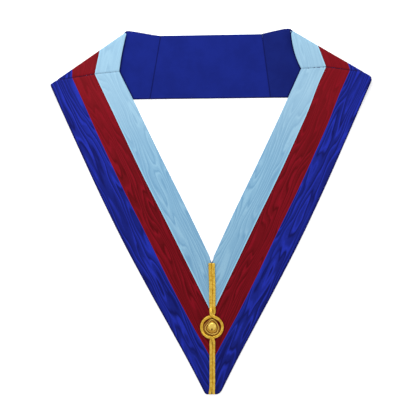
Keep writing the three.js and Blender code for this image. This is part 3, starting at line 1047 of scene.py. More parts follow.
@dataclass(frozen=True)
class BraidSizes:
    """Sizes of the gold braid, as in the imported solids, and of its two ribs and fine threads."""

    strand_width: float = 4.45 * MM
    strand_height: float = 2.6 * MM
    strand_gap: float = 0.3 * MM
    sink: float = 0.22 * MM
    top: float = 3.2 * MM
    shift: float = 0.9 * MM
    ring_shift: float = -0.6 * MM
    ring_drop: float = 95.7 * MM
    ring_radius: float = 15.05 * MM
    crossing_run: float = 8 * MM
    leave: float = 1.6
    near: float = 0.8
    over_top: float = 0.22
    over_foot: float = 0.1
    fade: tuple[float, float] = (0.8, 1.7)
    inside: tuple[float, float] = (0.15, 0.6)
    ring_lead: float = 28.0
    ring_steps: int = 8
    rib_place: float = 0.16
    rib_reach: float = 0.362
    rib_groove: float = 0.5
    thread_pitch: float = 1.35 * MM
    thread_slant: float = 0.9
    thread_relief: float = 0.17 * MM
    splay: float = 0.55 * MM
    splay_run: float = 9 * MM
    gape: float = 0.05 * MM
    gape_length: float = 17 * MM
    top_lean: float = -0.9 * MM
    top_run: tuple[float, float] = (-40 * MM, -10 * MM)
    tip_lean: float = -0.75 * MM
    tip_run: float = 14 * MM
    closing: float = 0.5 * MM
    closing_run: tuple[float, float, float, float] = (0.2, 0.9, 1.2, 3.0)
    slim: float = 0.13
    slim_run: tuple[float, float] = (-2 * MM, 7 * MM)
    foot_closing: float = 0.3 * MM
    gape_gain: float = 2.0
    groove_end: float = 0.24
    thread_level: float = 0.7
    # hollow_shade and hollow_fade set the painted shade between the threads.
    hollow_shade: float = 0.75
    hollow_fade: float = 1.5


class Braid:
    """The gold braid: two strands side by side, which cross above and below the button."""

    step: float = 0.27 * MM
    rib_points: int = 15
    end_taper: float = 0.5 * MM
    end_size: float = 0.78

    def __init__(self, bench: Bench, sizes: BraidSizes, cloth: CollarSizes,
                 tip_height: float) -> None:
        """Set the braid out.

        Args:
            bench: where its strands are finished.
            sizes: the braid's sizes.
            cloth: the collar's sizes.
            tip_height: the level of the blunt tip.
        """
        self.bench = bench
        self.sizes = sizes
        self.cloth = cloth
        self.tip_height = tip_height

    def rise(self, past: float) -> float:
        """How far a strand is lifted over the other, from 0 to 1, at a distance past the ring."""
        outside = smooth(past / self.sizes.crossing_run, *self.sizes.fade)
        inside = smooth(-past / self.sizes.ring_radius, *self.sizes.inside)
        return 1 - max(outside, inside)

    def ring_ends(self) -> tuple[float, float]:
        """The levels of the ring's top and foot."""
        reach, drop = self.sizes.ring_radius, self.sizes.ring_drop
        return reach - drop, -reach - drop

    def corners(self, start: int) -> list[Vector]:
        """The flat points that a strand's route passes through."""
        sizes = self.sizes
        beside = start * (sizes.strand_width + sizes.strand_gap) / 2
        ring_top, ring_foot = self.ring_ends()
        shares = (sizes.leave, sizes.near, sizes.over_top, sizes.over_foot)
        leave, near, over_top, over_foot = (share * sizes.crossing_run for share in shares)
        points = [(beside, -sizes.top), (beside, (ring_top - sizes.top) / 2),
                  (beside, ring_top + leave)]
        points += [(beside, ring_top + near), (0, ring_top + over_top)]
        for number in range(sizes.ring_steps + 1):
            turn = math.radians(blend(sizes.ring_lead, 180 - sizes.ring_lead,
                                      number / sizes.ring_steps))
            across = sizes.ring_shift - start * sizes.ring_radius * math.sin(turn)
            points.append((across, sizes.ring_radius * math.cos(turn) - sizes.ring_drop))
        points += [(0, ring_foot - over_foot), (beside, ring_foot - near),
                   (beside, ring_foot - leave)]
        points += [(beside, (ring_foot + self.tip_height) / 2),
                   (beside, self.tip_height + sizes.strand_gap)]
        return [Vector((x + sizes.shift, y)) for x, y in points]

    def route(self, start: int) -> list[Vector]:
        """A strand's centre line in space, at even steps."""
        flat = evened(curved(self.corners(start)), self.step)
        sizes = self.sizes
        base = self.cloth.cloth_wall + sizes.strand_gap + sizes.strand_height / 2 - sizes.sink
        ring_top, ring_foot = self.ring_ends()
        route = []
        for point in flat:
            past = point.y - ring_top if start < 0 else ring_foot - point.y
            straight = smooth(max(point.y - ring_top, ring_foot - point.y), 0,
                              2 * sizes.crossing_run)
            splay = sizes.splay * (1 - smooth(point.y - self.tip_height, 0, sizes.splay_run))
            wander = noise.noise(Vector((0, point.y / sizes.gape_length, 5.1)))
            aside = start * (splay + straight * sizes.gape * max(0.0, wander) * sizes.gape_gain)
            aside -= start * sizes.foot_closing * smooth(ring_foot - point.y, 0, sizes.crossing_run)
            aside += sizes.top_lean * smooth(point.y, *sizes.top_run)
            aside += sizes.tip_lean * (1 - smooth(point.y - self.tip_height, 0, sizes.tip_run))
            if start < 0:
                low, full, fading, high = (share * sizes.crossing_run + ring_top
                                           for share in sizes.closing_run)
                faded = smooth(point.y, fading, high)
                aside += sizes.closing * smooth(point.y, low, full) * (1 - faded)
            lift = (sizes.strand_height + sizes.strand_gap) * self.rise(past)
            wave = table_wave(point.x, point.y)
            route.append(Vector((point.x + aside, point.y, base + lift + wave)))
        return route

    def section(self) -> list[tuple[float, float, float, float]]:
        """The strand's outline: across, up, the share round its rib, and how deep in a groove, for the
        painted shade there.
        """
        sizes = self.sizes
        centre, reach = sizes.rib_place * sizes.strand_width, sizes.rib_reach * sizes.strand_width
        half = sizes.strand_height / 2
        limit = math.asin(centre / reach)
        arc = []
        for number in range(self.rib_points):
            share = number / (self.rib_points - 1)
            turn = blend(-limit, math.pi + limit, share)
            hollow = sizes.rib_groove * (1 - smooth(share, 0, sizes.groove_end))
            arc.append((centre + reach * math.sin(turn), half * math.cos(turn), share, hollow))
        mirrored = [(-across, *others) for across, *others in reversed(arc[1:-1])]
        return arc + mirrored

    def build(self, start: int, name: str, material: bpy.types.Material) -> bpy.types.Object:
        """Sweep the section along the route, with its slanting threads in relief.

        Args:
            start: -1 for the strand that starts on the left, 1 for the other.
            name: the node that the strand replaces.
            material: its finish.

        Returns:
            The piece.
        """
        sizes = self.sizes
        route, section = self.route(start), self.section()
        bm = bmesh.new()
        thread_layer = bm.loops.layers.uv.new("thread")
        groove_shade_mark = bm.verts.layers.float.new("hollow")
        rings, length = [], 0.0
        total = line_length(route)
        for number, centre in enumerate(route):
            ahead = (route[min(number + 1, len(route) - 1)]
                     - route[max(number - 1, 0)]).normalized()
            side = ahead.cross(Vector((0, 0, 1))).normalized()
            up = side.cross(ahead)
            length += (centre - route[number - 1]).length if number else 0.0
            from_end = min(length, total - length)
            size = blend(self.end_size, 1, smooth(from_end, 0, self.end_taper))
            size *= 1 - sizes.slim * smooth(sizes.ring_radius - sizes.ring_drop - centre.y,
                                            *sizes.slim_run)
            ring = []
            for across, rise, share, hollow in section:
                phase = length / sizes.thread_pitch - sizes.thread_slant * 2 * share
                bulge = math.sqrt(max(0.0, 1 - (2 * (phase % 1) - 1) ** 2))
                outward = (side * across + up * rise).normalized()
                relief = sizes.thread_relief * (bulge - sizes.thread_level)
                place = centre + (side * across + up * rise) * size + outward * relief
                vert = bm.verts.new(place)
                # Painted shade: the hollow mark darkens the gold in the groove between the ribs and between
                # the threads.
                vert[groove_shade_mark] = max(hollow,
                                        sizes.hollow_shade * (1 - bulge) ** sizes.hollow_fade)
                ring.append((vert, length, share))
            rings.append(ring)
        for ring, above in zip(rings, rings[1:]):
            for index in range(len(ring)):
                corners = (ring[index - 1], ring[index], above[index], above[index - 1])
                face = bm.faces.new([corner[0] for corner in corners])
                for loop, corner in zip(face.loops, corners):
                    loop[thread_layer].uv = (corner[1], corner[2] * sizes.strand_width)
        bm.faces.new([corner[0] for corner in rings[0]])
        bm.faces.new([corner[0] for corner in reversed(rings[-1])])
        bmesh.ops.recalc_face_normals(bm, faces=bm.faces)
        return self.bench.keep(object_of(bm, name), f"{name}_cord", "braid", material, [name],
                               angle=60)


def curved(points: Sequence[Vector], per_span: int = 24) -> list[Vector]:
    """A smooth line through some points, with spans eased by the roots of their lengths.

    Args:
        points: the points that the line passes through.
        per_span: how many steps each span gets.

    Returns:
        The line's points.
    """
    padded = [points[0] * 2 - points[1], *points, points[-1] * 2 - points[-2]]
    line = [points[0].copy()]
    for before, first, second, after in zip(padded, padded[1:], padded[2:], padded[3:]):
        spans = ((before, first), (first, second), (second, after))
        gaps = [math.sqrt((b - a).length) for a, b in spans]
        ahead = (second - first) / gaps[1]
        leave = (first - before) / gaps[0] - (second - before) / (gaps[0] + gaps[1]) + ahead
        arrive = ahead - (after - first) / (gaps[1] + gaps[2]) + (after - second) / gaps[2]
        leave, arrive = leave * gaps[1], arrive * gaps[1]
        for number in range(1, per_span + 1):
            t = number / per_span
            rise = t * t * (3 - 2 * t)
            line.append(first.lerp(second, rise) + (leave * (1 - t) - arrive * t) * (t * (1 - t)))
    return line


def evened(line: Sequence[Vector], step: float) -> list[Vector]:
    """The same line with points at even distances."""
    lengths = np.concatenate([[0], np.cumsum([(b - a).length for a, b in zip(line, line[1:])])])
    count = max(2, round(lengths[-1] / step))
    places = np.linspace(0, lengths[-1], count + 1)
    columns = [np.interp(places, lengths, [point[axis] for point in line])
               for axis in range(len(line[0]))]
    return [Vector(row) for row in zip(*columns)]


@dataclass(frozen=True)
class ButtonTier:
    """One ring of the button's face.

    Attributes:
        size: its size as a share of the outline that it follows.
        relief: 0 to follow the round rim, 1 to follow the three-cornered relief.
        height: its height as a share of the button's.
        tarnish: how dark the metal is there, from 0 to 1.
    """

    size: float
    relief: float
    height: float
    tarnish: float


class Button:
    """The gilt button inside the braid's ring: a dome in a raised, three-cornered setting."""

    radius: float = 11.5 * MM
    height: float = 6.2 * MM
    sides: int = 96
    rim: tuple[tuple[float, float], ...] = (
        (5, 0.93), (27, 0.845), (48, 0.92), (68, 1.03), (92, 1.07), (110, 0.99), (130, 0.9),
        (150, 0.95), (172, 1.05), (215, 1.08), (265, 1.08), (310, 1.08), (345, 1.03),
    )
    relief: tuple[tuple[float, float], ...] = (
        (21, 0.78), (60, 0.83), (89, 0.96), (115, 0.75), (141, 0.65), (167, 0.72), (193, 0.87),
        (220, 0.86), (253, 0.88), (285, 0.9), (313, 0.94), (340, 0.83),
    )
    tiers: tuple[ButtonTier, ...] = (
        ButtonTier(0.95, 0, 0.0, 0.7), ButtonTier(1.02, 0, 0.06, 0.6),
        ButtonTier(1.03, 0, 0.18, 0.55), ButtonTier(0.99, 0, 0.26, 0.6), ButtonTier(1.09, 1, 0.25, 0.85),
        ButtonTier(1.05, 1, 0.35, 0.3), ButtonTier(1.0, 1, 0.41, 0.0), ButtonTier(0.945, 1, 0.39, 0.0),
        ButtonTier(0.9, 1, 0.26, 0.8), ButtonTier(0.84, 1, 0.25, 0.95), ButtonTier(0.79, 1, 0.37, 0.45),
        ButtonTier(0.72, 0.85, 0.43, 0.2), ButtonTier(0.66, 0.6, 0.48, 0.2), ButtonTier(0.6, 0.3, 0.52, 0.35),
        ButtonTier(0.56, 0.1, 0.56, 0.3), ButtonTier(0.52, 0, 0.68, 0.05), ButtonTier(0.45, 0, 0.8, 0.0),
        ButtonTier(0.33, 0, 0.9, 0.0), ButtonTier(0.17, 0, 0.97, 0.0),
    )
    dome_shift: tuple[float, float] = (0.25 * MM, 1.2 * MM)
    dome_foot: float = 0.4
    dot_reach: float = 2.0
    dot_slope: tuple[float, float] = (0.3, 1.5)
    dot_tarnish: float = 2.0
    dot_drop: float = 3.1 * MM
    dot_radius: float = 1.15 * MM
    dot_depth: float = 0.9 * MM

    def __init__(self, bench: Bench, centre: Vector, base: float) -> None:
        """Set the button out.

        Args:
            bench: where it is finished.
            centre: its middle in the layout.
            base: the height that its back stands at.
        """
        self.bench = bench
        self.centre = centre
        self.base = base

    def outline(self, table: Sequence[tuple[float, float]], angle: float) -> float:
        """The radius of a closed outline at an angle, smoothed between its table's angles."""
        rows = [(degrees - 360, size) for degrees, size in table[-2:]] + list(table)
        rows += [(degrees + 360, size) for degrees, size in table[:3]]
        index = max(number for number, row in enumerate(rows[:-2])
                    if row[0] <= angle and number > 0)
        before, first, second, after = rows[index - 1:index + 3]
        t = (angle - first[0]) / (second[0] - first[0])
        step = second[0] - first[0]
        leave = (second[1] - before[1]) / (second[0] - before[0]) * step
        arrive = (after[1] - first[1]) / (after[0] - first[0]) * step
        return eased(first[1], second[1], leave, arrive, t)

    def build(self, material: bpy.types.Material) -> bpy.types.Object:
        """Draw the button up from a disc, tier by tier, then pull each tier to its outline.

        Args:
            material: its finish.

        Returns:
            The piece.
        """
        deselect_all()
        bpy.ops.mesh.primitive_circle_add(vertices=self.sides,
                                          radius=self.radius * self.tiers[0].size,
                                          fill_type="NGON", location=(0, 0, 0))
        disc = bpy.context.object
        bpy.ops.object.mode_set(mode="EDIT")
        bpy.ops.mesh.select_all(action="SELECT")
        for tier, below in zip(self.tiers[1:], self.tiers):
            bpy.ops.mesh.extrude_region_move()
            lift = (tier.height - below.height) * self.height
            bpy.ops.transform.translate(value=(0, 0, lift))
            ratio = tier.size / below.size
            bpy.ops.transform.resize(value=(ratio, ratio, 1),
                                     center_override=(0, 0, tier.height * self.height))
        bpy.ops.mesh.extrude_region_move()
        bpy.ops.transform.translate(value=(0, 0, (1 - self.tiers[-1].height) * self.height))
        bpy.ops.mesh.merge(type="CENTER")
        bpy.ops.object.mode_set(mode="OBJECT")
        self.pull_tiers(disc.data)
        self.sink_dot(disc)
        rounder = disc.modifiers.new("rounder", "SUBSURF")
        rounder.levels = rounder.render_levels = 1
        select_only(disc)
        bpy.ops.object.modifier_apply(modifier=rounder.name)
        place = Vector((self.centre.x, self.centre.y,
                        self.base + table_wave(self.centre.x, self.centre.y)))
        disc.data.transform(Matrix.Translation(place))
        return self.bench.keep(disc, "button_gilt", "button", material, ["button"], angle=60)

    def pull_tiers(self, mesh: bpy.types.Mesh) -> None:
        """Move each tier's points out to the outline that it follows, and mark the tarnish."""
        tarnish = mesh.attributes.new("hollow", "FLOAT", "POINT")
        heights = [tier.height * self.height for tier in self.tiers]
        for vert in mesh.vertices:
            spread = math.hypot(vert.co.x, vert.co.y)
            if spread < TINY:
                vert.co.xy = self.dome_shift
                continue
            order = [abs(spread - tier.size * self.radius) + abs(vert.co.z - height)
                     for tier, height in zip(self.tiers, heights)]
            tier = self.tiers[order.index(min(order))]
            angle = math.degrees(math.atan2(vert.co.y, vert.co.x)) % 360
            outer = self.outline(self.rim, angle) if tier.height < self.dome_foot else 1.0
            follow = blend(outer, self.outline(self.relief, angle), tier.relief)
            inside = 1 - tier.relief if tier.height > self.dome_foot else 0.0
            for axis, shift in enumerate(self.dome_shift):
                drawn = vert.co[axis] * follow * tier.size * self.radius / spread
                vert.co[axis] = drawn + inside * shift
            tarnish.data[vert.index].value = tier.tarnish

    def sink_dot(self, disc: bpy.types.Object) -> None:
        """Press a small hollow into the face, below the dome."""
        mesh = disc.data
        tarnish = mesh.attributes["hollow"]
        for vert in mesh.vertices:
            gap = math.hypot(vert.co.x, vert.co.y + self.dot_drop)
            if vert.co.z > self.dome_foot * self.height and gap < self.dot_reach * self.dot_radius:
                low, high = (share * self.dot_radius for share in self.dot_slope)
                share = 1 - smooth(gap, low, high)
                vert.co.z -= self.dot_depth * share
                point = tarnish.data[vert.index]
                point.value = max(point.value, min(1.0, self.dot_tarnish * share))


@dataclass(frozen=True)
class StitchRow:
    """A row of hand stitches over a mitre seam.

    Attributes:
        places: where the stitches lie, as shares of the seam from the neck edge to the outer edge.
        length: the length of a stitch.
        thickness: the thread's thickness.
        skew: how far the stitches slant from the seam, in degrees.
    """

    places: tuple[float, ...]
    length: float
    thickness: float
    skew: float


class MitreStitches:
    """The hand stitches that close the mitre of one shoulder."""

    sides: int = 8
    bends: int = 5
    jitter: float = 0.3
    jitter_turn: float = 12.9898
    length_jitter: float = 0.5
    next_share: float = 0.02
    bed_share: float = 0.55

    def __init__(self, bench: Bench, side: SideLayout, row: StitchRow) -> None:
        """Set the row out along the side's mitre."""
        self.bench = bench
        self.side = side
        self.row = row

    def build(self, name: str, material: bpy.types.Material) -> bpy.types.Object:
        """Lay a short bowed thread for each stitch, and join them.

        Args:
            name: the row's name.
            material: its finish.

        Returns:
            The piece.
        """
        side, row = self.side, self.row
        seam = [side.rail_point(rail, side.mitre_at(rail)) for rail in range(OUTER_EDGE + 1)]
        threads = []
        for number, share in enumerate(row.places):
            jitter = self.jitter * math.sin(self.jitter_turn * (number + 1))
            middle = sampled(seam, share)
            along = (sampled(seam, share + self.next_share) - middle).normalized()
            slant = math.radians(row.skew * (1 + jitter))
            heading = Vector((along.x * math.cos(slant) - along.y * math.sin(slant),
                              along.x * math.sin(slant) + along.y * math.cos(slant)))
            threads.append(self.thread(middle, heading, row.length * (1 + self.length_jitter * jitter)))
        select_only(threads[0])
        for thread in threads:
            thread.select_set(True)
        bpy.ops.object.join()
        return self.bench.keep(bpy.context.object, name, "lining", material, angle=60)

    def thread(self, middle: Vector, heading: Vector, length: float) -> bpy.types.Object:
        """One stitch: a thin bar whose ends dip into the cloth."""
        row = self.row
        deselect_all()
        bpy.ops.mesh.primitive_cylinder_add(vertices=self.sides, radius=row.thickness / 2,
                                            depth=length,
                                            location=(0, 0, 0), rotation=(0, math.pi / 2, 0))
        bar = bpy.context.object
        bpy.ops.object.transform_apply(location=True, rotation=True, scale=True)
        bm = bmesh.new()
        bm.from_mesh(bar.data)
        for number in range(1, self.bends):
            cut = (number / self.bends - 0.5) * length
            bmesh.ops.bisect_plane(bm, geom=[*bm.verts, *bm.edges, *bm.faces], plane_co=(cut, 0, 0),
                                   plane_no=(1, 0, 0))
        top = RIBBON_WALL.high - RIBBON_WALL.groove * self.bed_share
        for vert in bm.verts:
            share = abs(vert.co.x) * 2 / length
            flat = middle + heading * vert.co.x + Vector((-heading.y, heading.x)) * vert.co.y
            sunk = row.thickness * share**3
            surface = self.side.cloth_point(self.side.flat_place(flat), top)
            vert.co = Vector((flat.x, flat.y, surface.z + vert.co.z - sunk))
        bm.to_mesh(bar.data)
        bm.free()
        return bar


class Shader:
    """A material's node tree, with short calls to add and join nodes."""

    def __init__(self, name: str) -> None:
        """Start a material with a plain surface."""
        self.material = bpy.data.materials.new(name)
        self.material.use_nodes = True
        self.nodes = self.material.node_tree.nodes
        self.surface = self.nodes["Principled BSDF"]

    def feed(self, socket: bpy.types.NodeSocket, value: object) -> None:
        """Join an output to an input, or set the input's own value."""
        if isinstance(value, bpy.types.NodeSocket):
            self.material.node_tree.links.new(value, socket)
        else:
            socket.default_value = value

    def add(self, kind: str, inputs: dict | None = None, **options: object) -> bpy.types.Node:
        """Add a node.

        Args:
            kind: the node's type.
            inputs: values, or outputs to join, by the input's name or number.
            options: the node's own settings.

        Returns:
            The new node.
        """
        node = self.nodes.new(kind)
        for option, value in options.items():
            setattr(node, option, value)
        for key, value in (inputs or {}).items():
            self.feed(node.inputs[key], value)
        return node

    def sum(self, operation: str, *terms: object) -> bpy.types.NodeSocket:
        """The result of a sum on numbers."""
        return self.add("ShaderNodeMath", dict(enumerate(terms)), operation=operation).outputs[0]

    def mix(self, share: object, first: object, second: object) -> bpy.types.NodeSocket:
        """Two colours mixed."""
        node = self.add("ShaderNodeMix", data_type="RGBA", blend_type="MIX")
        for key, value in ((0, share), (6, first), (7, second)):
            self.feed(node.inputs[key], value)
        return node.outputs[2]

    def remap(self, value: object, low: float, high: float, to_low: float,
              to_high: float) -> bpy.types.NodeSocket:
        """A number moved smoothly from one range to another."""
        inputs = {"Value": value, "From Min": low, "From Max": high, "To Min": to_low,
                  "To Max": to_high}
        return self.add("ShaderNodeMapRange", inputs, interpolation_type="SMOOTHSTEP").outputs[0]

    def mark(self, name: str) -> bpy.types.NodeSocket:
        """A number stored on the mesh."""
        return self.add("ShaderNodeAttribute", attribute_name=name).outputs["Fac"]

    def noise(self, vector: object, scale: float, detail: float = 2.0,
              rough: float = 0.5) -> bpy.types.NodeSocket:
        """Smooth noise from 0 to 1."""
        inputs = {"Vector": vector, "Scale": scale, "Detail": detail, "Roughness": rough}
        return self.add("ShaderNodeTexNoise", inputs).outputs[0]

    def finish(self, settings: dict[str, object]) -> bpy.types.Material:
        """Feed the surface and return the material."""
        for key, value in settings.items():
            self.feed(self.surface.inputs[key], value)
        return self.material


Colour = tuple[float, float, float, float]


STUDIO_LIGHT = 1.21


def colour(red: int, green: int, blue: int) -> Colour:
    """The colour of a surface that the studio's light shows at some 0 to 255 steps of a screen."""
    def linear(step: int) -> float:
        """One channel in linear light."""
        share = step / 255
        light = share / 12.92 if share <= 0.04045 else ((share + 0.055) / 1.055) ** 2.4
        return light / STUDIO_LIGHT

    return (linear(red), linear(green), linear(blue), 1.0)


@dataclass(frozen=True)
class WateredSilk:
    """Ribbed ribbon whose ribs were pressed out of line, which gives it its wood-like figure.

    Attributes:
        name: the finish's name.
        dark: the colour of the deepest lines.
        middle: the colour of the ground.
        light: the colour of the brightest lines.
        inner_line: the colour along the inner edge of the stripe.
        outer_line: the colour along the outer edge.
        line_strength: how strongly the two edge lines show.
        lines: how many figure lines there are in a metre across, before the figure swings.
        swing: how many lines the figure swings by.
        grain: the figure's length and width, in metres.
        contrast: how strongly the lines show.
        edge_width: the widths of the two edge lines.
        join_shade: how strongly painted shade darkens the sewn joins.
        pale: how strongly a painted sheen pales the cloth towards the neck, from 0 to 1.
        neck_sheen_tone: the colour of the painted sheen that the cloth pales to.
        neck_sheen_run: the distances up the collar at which the painted sheen starts and ends.
        rib: the spacing of the weave's ribs.
        edge_core: the share of an edge line's width that shows in full.
        dark_place: where in each turn of the figure the dark line lies.
        light_place: where in each turn the bright line lies.
        sharpness: how narrow the lines are.
        swing_noise: the scale, detail and roughness of what swings the lines.
        calm_noise: the scale and detail of what makes the lines fainter in places.
        calm_run: the values between which the lines gain strength.
        calm_share: the strength that the faintest lines keep.
        ground_noise: the scale, detail and roughness of the ground's patches.
        ground_ends: where on the ramp the darkest and the lightest ground lie.
        speck_scale: how many specks lie in a metre, along and across.
        speck_run: the values between which the specks show.
        speck_shade: how dark the specks are.
        join_shade_run: the distances from a join at which its painted shade is full and gone.
        join_shade_tone: the colour of the painted shade at a join.
        rough: the roughness of the ground and of the brightest lines.
        rib_relief: the height of the ribs beside that of the figure.
        bump: how strongly the relief shows.
    """

    name: str
    dark: Colour
    middle: Colour
    light: Colour
    inner_line: Colour
    outer_line: Colour
    line_strength: tuple[float, float] = (0.5, 0.5)
    lines: float = 80.0
    swing: float = 8.0
    grain: tuple[float, float] = (0.17, 0.018)
    contrast: float = 1.0
    edge_width: tuple[float, float] = (1.6 * MM, 1.8 * MM)
    join_shade: float = 0.35
    pale: float = 0.0
    neck_sheen_tone: Colour = (1.0, 1.0, 1.0, 1.0)
    neck_sheen_run: tuple[float, float] = (0.04, 0.185)
    rib: float = 0.75 * MM
    edge_core: float = 0.3
    dark_place: float = 0.34
    light_place: float = 0.6
    sharpness: float = 3.8
    swing_noise: tuple[float, float, float] = (1.0, 2.2, 0.38)
    calm_noise: tuple[float, float] = (1.7, 1.0)
    calm_run: tuple[float, float] = (0.3, 0.55)
    calm_share: float = 0.5
    ground_noise: tuple[float, float, float] = (0.8, 2.0, 0.5)
    ground_ends: tuple[float, float] = (0.08, 0.92)
    speck_scale: tuple[float, float] = (260.0, 1500.0)
    speck_run: tuple[float, float] = (0.35, 0.75)
    speck_shade: float = 0.3
    join_shade_run: tuple[float, float] = (0.15 * MM, 1.1 * MM)
    join_shade_tone: Colour = (0.01, 0.005, 0.02, 1.0)
    rough: tuple[float, float] = (0.5, 0.4)
    rib_relief: float = 0.07
    bump: float = 0.2

    def material(self) -> bpy.types.Material:
        """Build the finish."""
        shader = Shader(self.name)
        woven = shader.add("ShaderNodeUVMap", uv_map="weave").outputs[0]
        split = shader.add("ShaderNodeSeparateXYZ", {0: woven})
        along, across = split.outputs[0], split.outputs[1]
        stretched = self.scaled(shader, woven, 1 / self.grain[0], 1 / self.grain[1])
        swing = shader.noise(stretched, *self.swing_noise)
        phase = shader.sum("MULTIPLY_ADD", swing, self.swing,
                           shader.sum("MULTIPLY", across, self.lines))
        quiet = shader.noise(stretched, *self.calm_noise)
        calm = shader.remap(quiet, *self.calm_run, self.calm_share * self.contrast, self.contrast)
        dark_line, light_line = (self.line(shader, phase, place)
                                 for place in (self.dark_place, self.light_place))
        ramp = shader.add("ShaderNodeValToRGB", {0: shader.noise(stretched, *self.ground_noise)})
        self.set_ramp(ramp.color_ramp)
        tone = shader.mix(shader.sum("MULTIPLY", dark_line, calm), ramp.outputs[0], self.dark)
        tone = shader.mix(shader.sum("MULTIPLY", light_line, calm), tone, self.light)
        fine = shader.noise(self.scaled(shader, woven, *self.speck_scale), 1.0, 2.0)
        tone = shader.mix(shader.remap(fine, *self.speck_run, 0.0, self.speck_shade), tone,
                          self.dark)
        edges = zip(("inner_edge", "outer_edge"), (self.inner_line, self.outer_line),
                    self.line_strength, self.edge_width)
        for mark, line, strength, width in edges:
            share = shader.remap(shader.mark(mark), width * self.edge_core, width, strength, 0.0)
            tone = shader.mix(share, tone, line)
        # Painted sheen and light: the cloth pales towards the neck, by its height up the collar.
        spot = shader.add("ShaderNodeSeparateXYZ",
                          {0: shader.add("ShaderNodeTexCoord").outputs["Object"]})
        tone = shader.mix(shader.remap(spot.outputs[1], *self.neck_sheen_run, 0.0, self.pale), tone,
                          self.neck_sheen_tone)
        # Painted shade in the grooves of the sewn joins.
        shade = shader.remap(shader.mark("join"), *self.join_shade_run, self.join_shade, 0.0)
        tone = shader.mix(shade, tone, self.join_shade_tone)
        rough = shader.remap(light_line, 0.0, 1.0, *self.rough)
        ribs = shader.sum("SINE", shader.sum("MULTIPLY", along, 2 * math.pi / self.rib))
        height = shader.sum("MULTIPLY_ADD", ribs, self.rib_relief,
                            shader.sum("SUBTRACT", light_line, dark_line))
        bump = shader.add("ShaderNodeBump",
                          {"Strength": self.bump, "Distance": 0.1 * MM, "Height": height})
        return shader.finish({
            "Base Color": tone, "Roughness": rough, "Normal": bump.outputs[0],
            "Specular IOR Level": 0.05,
        })

    def scaled(self, shader: Shader, woven: object, along: float,
               across: float) -> bpy.types.NodeSocket:
        """The woven place, stretched along and across the ribbon."""
        node = shader.add("ShaderNodeVectorMath", {0: woven, 1: (along, across, 1)},
                          operation="MULTIPLY")
        return node.outputs[0]

    def line(self, shader: Shader, phase: object, place: float) -> bpy.types.NodeSocket:
        """A soft line, from 0 to 1, that repeats with the phase.

        Args:
            shader: the finish being made.
            phase: the figure's phase, in turns.
            place: where in each turn the line lies.

        Returns:
            How strong the line is.
        """
        turned = shader.sum("MULTIPLY", shader.sum("SUBTRACT", phase, place), 2 * math.pi)
        wave = shader.sum("MULTIPLY_ADD", shader.sum("COSINE", turned), 0.5, 0.5)
        return shader.sum("POWER", wave, self.sharpness)

    def set_ramp(self, ramp: bpy.types.ColorRamp) -> None:
        """Place the darker, the even and the lighter ground on a colour ramp."""
        tones = (self.dark, self.light)
        for element, position, tone in zip(list(ramp.elements), self.ground_ends, tones):
            element.position, element.color = position, tone
        ramp.elements.new(0.5).color = self.middle


@dataclass(frozen=True)
class LiningCloth:
    """Plain, close-woven dark blue lining, with painted shade along its folded inner edge, in its seams and
    beside the edge of the layer above it.
    """

    name: str = "lining_cloth"
    dark: Colour = colour(22, 35, 120)
    light: Colour = colour(25, 39, 130)
    # join is the colour of the painted shade in the lining's seams and of the painted shadow beside the layer
    # above it.
    join: Colour = colour(12, 15, 66)
    # fold is the colour of the painted shade along the lining's folded inner edge.
    fold: Colour = colour(10, 10, 104)
    thread: float = 0.42 * MM
    clouds: tuple[float, float, float] = (28.0, 3.0, 0.55)
    specks: tuple[float, float, float] = (190.0, 2.0, 0.6)
    fold_shade_run: tuple[float, float, float] = (0.4 * MM, 1.3 * MM, 0.7)
    join_shade_run: tuple[float, float, float] = (0.1 * MM, 1.2 * MM, 0.75)
    # Painted shadow: the lining is darkened where the layer above covers it and for a few millimetres beside
    # that layer's edge.
    covered_shadow_run: tuple[float, float, float] = (0.6 * MM, 3.0 * MM, 0.8)

    def material(self) -> bpy.types.Material:
        """Build the finish."""
        shader = Shader(self.name)
        place = shader.add("ShaderNodeTexCoord").outputs["Object"]
        cloudy = shader.noise(place, *self.clouds)
        specks = shader.noise(place, *self.specks)
        share = shader.sum("MULTIPLY_ADD", shader.sum("SUBTRACT", specks, 0.5), 0.3, cloudy)
        tone = shader.mix(shader.remap(share, 0.3, 0.7, 0.0, 1.0), self.dark, self.light)
        # Painted shade on the lining: along its folded inner edge, in its seams, and beside and under the
        # edge of the layer above it.
        painted_shades = (("inner_edge", self.fold_shade_run, self.fold), ("join", self.join_shade_run, self.join),
                 ("clear", self.covered_shadow_run, self.join))
        for mark, run, shade_tone in painted_shades:
            tone = shader.mix(shader.remap(shader.mark(mark), *run, 0.0), tone, shade_tone)
        woven = shader.add("ShaderNodeUVMap", uv_map="weave").outputs[0]
        split = shader.add("ShaderNodeSeparateXYZ", {0: woven})
        turns = 2 * math.pi / self.thread
        weft = shader.sum("SINE", shader.sum("MULTIPLY", split.outputs[0], turns))
        warp = shader.sum("SINE", shader.sum("MULTIPLY", split.outputs[1], turns))
        height = shader.sum("MULTIPLY_ADD", shader.sum("MULTIPLY", weft, warp), 0.5, cloudy)
        bump = shader.add("ShaderNodeBump",
                          {"Strength": 0.4, "Distance": 0.1 * MM, "Height": height})
        return shader.finish({
            "Base Color": tone, "Roughness": 0.82, "Normal": bump.outputs[0],
            "Specular IOR Level": 0.04,
        })


